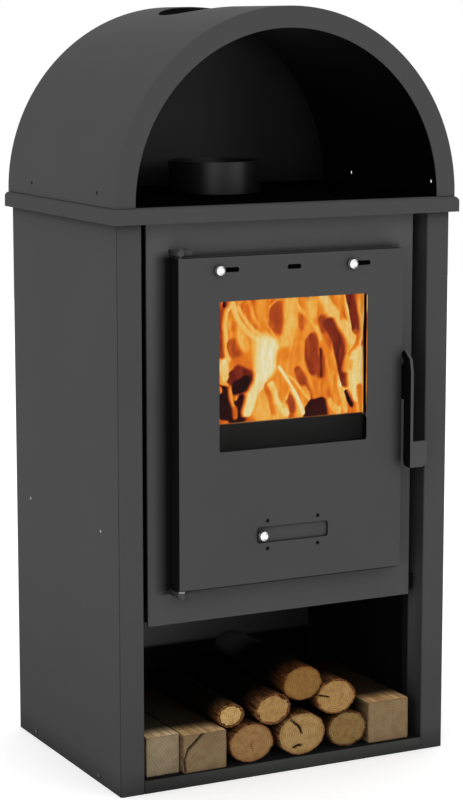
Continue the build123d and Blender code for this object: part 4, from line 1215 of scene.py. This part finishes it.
# A stroke is its heat, half width and softness in millimetres, then its line in shares of the view
strokes = (
    (0.60, 60, 30, ((0.5, 0.5), (0.5, 0.9))),
    (0.50, 14, 10, ((0.18, 0.93), (0.2, 0.84))),
    (0.27, 5, 3, ((0.0, 1.0), (0.012, 0.75), (0.02, 0.55))),
    (0.03, 2.5, 1.5, ((0.047, 1.0), (0.045, 0.97))),
    (0.62, 7, 5, ((0.07, 0.72), (0.1, 0.62))),
    (0.78, 3, 2.5, ((0.095, 1.0), (0.05, 0.92), (0.04, 0.8), (0.055, 0.66), (0.06, 0.52))),
    (0.80, 4.5, 3, ((0.085, 0.97), (0.12, 0.84), (0.19, 0.74), (0.25, 0.66))),
    (0.76, 3.5, 3, ((0.125, 0.94), (0.18, 0.83), (0.235, 0.74), (0.29, 0.68))),
    (0.66, 3, 3, ((0.2, 1.0), (0.22, 0.88), (0.27, 0.76))),
    (0.36, 12, 5, ((0.375, 0.93), (0.38, 0.82), (0.41, 0.76))),
    (0.42, 6, 4, ((0.33, 0.78), (0.36, 0.70))),
    (0.64, 2.2, 1.8, ((0.41, 1.0), (0.33, 0.94), (0.3, 0.85), (0.33, 0.75), (0.37, 0.68))),
    (0.74, 12, 6, ((0.475, 1.0), (0.475, 0.8), (0.44, 0.6))),
    (0.38, 9, 6, ((0.09, 0.64), (0.1, 0.57), (0.13, 0.54))),
    (0.72, 7, 5, ((0.14, 0.72), (0.17, 0.62))),
    (0.52, 8, 6, ((0.1, 0.48), (0.17, 0.5), (0.2, 0.45))),
    (0.93, 20, 16, ((0.31, 0.6), (0.31, 0.46))),
    (0.96, 13, 10, ((0.33, 0.6), (0.29, 0.38), (0.26, 0.3))),
    (0.20, 12, 5, ((0.09, 0.36), (0.14, 0.4), (0.19, 0.37))),
    (0.24, 9, 4, ((0.13, 0.42), (0.16, 0.36))),
    (0.86, 7, 5, ((0.02, 0.46), (0.035, 0.38))),
    (0.04, 16, 4, ((0.02, 0.22), (0.04, 0.1), (0.1, 0.08), (0.13, 0.02))),
    (0.04, 11, 4, ((0.12, 0.27), (0.16, 0.29), (0.19, 0.31))),
    (0.06, 9, 3, ((0.15, 0.17), (0.15, 0.05), (0.13, 0.0))),
    (0.16, 3, 3, ((0.0, 0.3), (0.02, 0.27))),
    (0.55, 3, 2.5, ((0.005, 0.28), (0.012, 0.25))),
    (0.70, 2.6, 2, ((0.065, 0.27), (0.08, 0.17), (0.1, 0.1), (0.105, 0.02))),
    (0.50, 4, 3, ((0.105, 0.1), (0.11, 0.03))),
    (0.72, 18, 8, ((0.27, 0.16), (0.3, 0.06), (0.4, 0.04))),
    (0.92, 9, 5, ((0.27, 0.32), (0.21, 0.2), (0.185, 0.06))),
    (0.52, 4.5, 3.5, ((0.315, 0.28), (0.335, 0.16), (0.355, 0.05))),
    (0.62, 10, 8, ((0.41, 0.28), (0.43, 0.18))),
    (0.86, 5, 3, ((0.345, 0.28), (0.39, 0.14), (0.44, 0.03))),
    (0.32, 6, 3.5, ((0.49, 0.14), (0.49, 0.05))),
    (0.74, 1.8, 1.6, ((0.48, 0.24), (0.44, 0.13), (0.43, 0.08))),
    (0.62, 14, 10, ((0.43, 0.52), (0.45, 0.42))),
    (0.34, 8, 5, ((0.545, 0.38), (0.56, 0.3), (0.6, 0.24))),
    (0.42, 5, 4, ((0.545, 0.84), (0.55, 0.74))),
    (0.66, 6, 5, ((0.59, 0.74), (0.6, 0.66))),
    (0.30, 13, 7, ((0.63, 0.62), (0.62, 0.5), (0.64, 0.4))),
    (0.33, 9, 6, ((0.68, 0.45), (0.69, 0.34))),
    (0.64, 3.5, 3.5, ((0.53, 0.72), (0.56, 0.56), (0.555, 0.44), (0.6, 0.32), (0.64, 0.2))),
    (0.13, 2.0, 2.0, ((0.69, 0.55), (0.69, 0.42), (0.695, 0.31))),
    (0.56, 10, 7, ((0.66, 0.18), (0.7, 0.12))),
    (0.72, 10, 6, ((0.62, 0.95), (0.62, 0.86))),
    (0.80, 9, 6, ((0.7, 1.0), (0.77, 0.84), (0.85, 0.72), (0.88, 0.62))),
    (0.34, 8, 6, ((0.7, 0.8), (0.71, 0.72))),
    (0.23, 9, 4, ((0.75, 0.76), (0.79, 0.64), (0.82, 0.5))),
    (0.22, 7, 4, ((0.82, 0.5), (0.83, 0.38), (0.855, 0.24))),
    (0.66, 6, 4, ((0.87, 0.46), (0.86, 0.36))),
    (0.72, 3.6, 2.2, ((0.47, 1.0), (0.54, 0.91), (0.6, 0.82), (0.665, 0.7), (0.69, 0.6))),
    (0.60, 5, 3, ((0.69, 0.6), (0.74, 0.5), (0.775, 0.35), (0.79, 0.2), (0.81, 0.08))),
    (0.58, 3.5, 3, ((0.825, 1.0), (0.82, 0.86), (0.82, 0.8))),
    (0.82, 3, 2.5, ((0.85, 1.0), (0.86, 0.85), (0.88, 0.74))),
    (0.22, 9, 3, ((0.885, 1.0), (0.905, 0.86), (0.92, 0.75), (0.93, 0.7))),
    (0.62, 8, 5, ((0.98, 1.0), (0.985, 0.86))),
    (0.42, 4, 3, ((0.92, 0.68), (0.945, 0.66))),
    (0.80, 3, 2.5, ((0.97, 0.78), (0.97, 0.65), (0.95, 0.58))),
    (0.52, 3.5, 2.5, ((0.945, 0.64), (0.91, 0.56), (0.875, 0.5))),
    (0.86, 15, 8, ((0.95, 0.48), (0.93, 0.34), (0.93, 0.24))),
    (0.88, 5, 4, ((0.9, 0.5), (0.885, 0.36), (0.9, 0.22), (0.92, 0.1))),
    (0.70, 5, 4, ((0.88, 0.42), (0.88, 0.38))),
    (0.55, 6, 4, ((0.95, 0.2), (0.96, 0.08))),
    (0.80, 2.4, 2, ((0.98, 0.24), (0.99, 0.14))),
    (0.05, 5, 2, ((0.86, 0.16), (0.87, 0.12), (0.9, 0.05))),
    (0.76, 4, 3, ((0.82, 0.2), (0.84, 0.1), (0.85, 0.0))),
    (0.74, 6, 4, ((0.74, 0.1), (0.78, 0.03))),
    (0.66, 5, 4, ((0.57, 0.22), (0.6, 0.14))),
    (0.09, 9, 2.2, ((0.6, 0.02), (0.64, 0.08), (0.69, 0.09), (0.7, 0.0))),
    (0.07, 10, 3, ((0.6, -0.03), (0.7, -0.03))),
    (0.97, 2.2, 1.6, ((0.4, 0.43), (0.435, 0.35), (0.475, 0.27), (0.495, 0.22))),
    (0.98, 3.6, 2.2, ((0.495, 0.22), (0.53, 0.11), (0.555, 0.02))),
    (0.78, 2.0, 1.8, ((0.44, 0.36), (0.5, 0.31), (0.56, 0.2), (0.6, 0.13))),
)


def noiseOver(x, z, layers):
    values = [
        sum(strength * wave(px * across, pz * upward, seed) for strength, across, upward, seed in layers)
        for px, pz in zip(x.ravel(), z.ravel())
    ]
    return np.array(values).reshape(x.shape)


def heatField(across, upward):
    wide, tall = flame["viewWidth"] * 1000, flame["viewHeight"] * 1000
    x, z = across * wide, upward * tall
    heat = flameNoise["ground"] + noiseOver(x, z, flameNoise["tongues"])
    bendAcross = noiseOver(x, z, flameNoise["bendAcross"])
    bendUpward = noiseOver(x, z, flameNoise["bendUpward"])
    x, z = x + bendAcross, z + bendUpward
    for value, halfWidth, soft, line in strokes:
        nearest = fromLine(x, z, [(u * wide, v * tall) for u, v in line])
        share = np.clip((halfWidth + soft / 2 - nearest) / soft, 0, 1)
        share = share * share * (3 - 2 * share)
        heat = heat + (value - heat) * share
    return heat + noiseOver(x, z, flameNoise["streaks"]) - flameNoise["cooler"]


def flameCurtain():
    columns = int((flame["right"] - flame["left"]) / flame["step"]) + 1
    levels = int((flame["top"] - flame["bottom"]) / flame["step"]) + 1
    xs = np.linspace(flame["left"], flame["right"], columns)
    zs = np.linspace(flame["bottom"], flame["top"], levels)
    gridX, gridZ = np.meshgrid(xs, zs)
    across = (gridX - flame["viewLeft"]) / flame["viewWidth"]
    upward = (gridZ - flame["viewBottom"]) / flame["viewHeight"]
    heat = heatField(across, upward)
    veil = np.ones_like(heat)
    for column, x in enumerate(xs):
        tip = flame["tip"] + 0.016 * wave(x * 55, 1.0, 2.0) + 0.006 * wave(x * 160, 5.0, 2.0)
        beside = min(1.0, (flame["right"] - abs(x)) / flame["fade"])
        veil[:, column] = np.clip((tip - zs) / flame["fade"], 0, 1) * beside
    points, values, veils = [], [], []
    for side in (0, 1):
        for level in range(levels):
            for column in range(columns):
                lift = flame["relief"] * (0.5 - heat[level, column])
                sway = flame["sway"] * wave(xs[column] * 25, zs[level] * 12, 0.0)
                thickness = flame["thinnest"] + flame["thickness"] * veil[level, column]
                points.append((xs[column], flame["depth"] + lift + sway + side * thickness, zs[level]))
        values += list(heat.ravel())
        veils += list(veil.ravel())
    layer = columns * levels
    faces = []
    for level in range(levels - 1):
        for column in range(columns - 1):
            a = level * columns + column
            faces.append((a, a + 1, a + columns + 1, a + columns))
            faces.append((layer + a, layer + a + columns, layer + a + columns + 1, layer + a + 1))
    rim = [level * columns for level in range(levels - 1, -1, -1)]
    rim += list(range(1, columns))
    rim += [level * columns + columns - 1 for level in range(1, levels)]
    rim += [(levels - 1) * columns + column for column in range(columns - 2, 0, -1)]
    for first, second in zip(rim, rim[1:] + rim[:1]):
        faces.append((second, first, layer + first, layer + second))
    curtain = meshObject("flames", points, faces, [flameMaterial()])
    pointValue(curtain, "fireHeat", values)
    pointValue(curtain, "fireVeil", veils)
    return curtain


def flameMaterial():
    material, tree, shader = newMaterial("flameGlow", Roughness=1.0, Specular_IOR_Level=0.0, Emission_Strength=1.0)
    shader.inputs["Base Color"].default_value = (0, 0, 0, 1)
    heat = attributeOf(tree, "fireHeat")["Fac"]
    streaks = make(tree, "ShaderNodeMapping", {"Vector": objectPlace(tree), "Scale": (160.0, 1.0, 50.0)})
    flicker = mottle(tree, streaks, 1.0, 3.0, Distortion=1.5)
    uneven = plus(tree, heat, ramp(tree, flicker, -0.05, 0.05))
    tree.links.new(placeGroup(tree, heatColors, Heat=uneven)["Color"], shader.inputs["Emission Color"])
    tree.links.new(attributeOf(tree, "fireVeil")["Fac"], shader.inputs["Alpha"])
    return material


flames = flameCurtain()
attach(flames, "stove")
print("fire lit:", len(flames.data.vertices), "points")


def lookAt(thing, place, target):
    thing.location = place
    thing.rotation_euler = (Vector(target) - Vector(place)).to_track_quat("-Z", "Y").to_euler()


# Camera at the photograph's viewing angle
cameraFit = {"place": (-1.7039, -3.3376, 1.1798), "target": (0.0075, 0.0162, 0.5700), "lens": 104.70, "sensor": 36.0}
camera = addObject("camera", bpy.data.cameras.new("camera"))
camera.data.lens = cameraFit["lens"]
camera.data.sensor_width = cameraFit["sensor"]
camera.data.clip_end = 60.0
lookAt(camera, cameraFit["place"], cameraFit["target"])
scene.camera = camera

# White surroundings at a plain level, a pale floor and one soft key light
studio = {
    "worldLevel": 1.0,
    "floorHalf": 6.0,
    "floorColor": (0.93, 0.93, 0.93, 1),
    "floorGlow": 0.36,
    "keyPower": 4.0,
    "keySize": 2.2,
    "keyPlace": (-1.6, -3.2, 2.4),
    "keyTarget": (0, 0, 0.6),
}
world = bpy.data.worlds.new("studio")
world.use_nodes = True
world.node_tree.nodes["Background"].inputs["Color"].default_value = (1, 1, 1, 1)
world.node_tree.nodes["Background"].inputs["Strength"].default_value = studio["worldLevel"]
scene.world = world


def floorMaterial():
    material, tree, shader = newMaterial("paleFloor", Roughness=0.9, Specular_IOR_Level=0.1)
    shade = ramp(tree, mottle(tree, objectPlace(tree), 3.0), 0.985, 1.0)
    tone = vectorOf(tree, shade, shade, shade)
    color = mixColors(tree, 1.0, tone, studio["floorColor"], "MULTIPLY")
    tree.links.new(color, shader.inputs["Base Color"])
    shader.inputs["Emission Color"].default_value = (1, 1, 1, 1)
    path = put(tree, "ShaderNodeLightPath").outputs
    seen = either(tree, path["Is Camera Ray"], path["Is Glossy Ray"], path["Is Transmission Ray"])
    tree.links.new(times(tree, seen, studio["floorGlow"]), shader.inputs["Emission Strength"])
    return material


half = studio["floorHalf"]
floorCorners = [(-half, -half, 0), (half, -half, 0), (half, half, 0), (-half, half, 0)]
floor = meshObject("floor", floorCorners, [(0, 1, 2, 3)], [floorMaterial()])

keyLight = addObject("keyLight", bpy.data.lights.new("keyLight", "AREA"))
keyLight.data.energy = studio["keyPower"]
keyLight.data.size = studio["keySize"]
lookAt(keyLight, studio["keyPlace"], studio["keyTarget"])
scene.view_settings.view_transform = "Standard"
print("studio set")
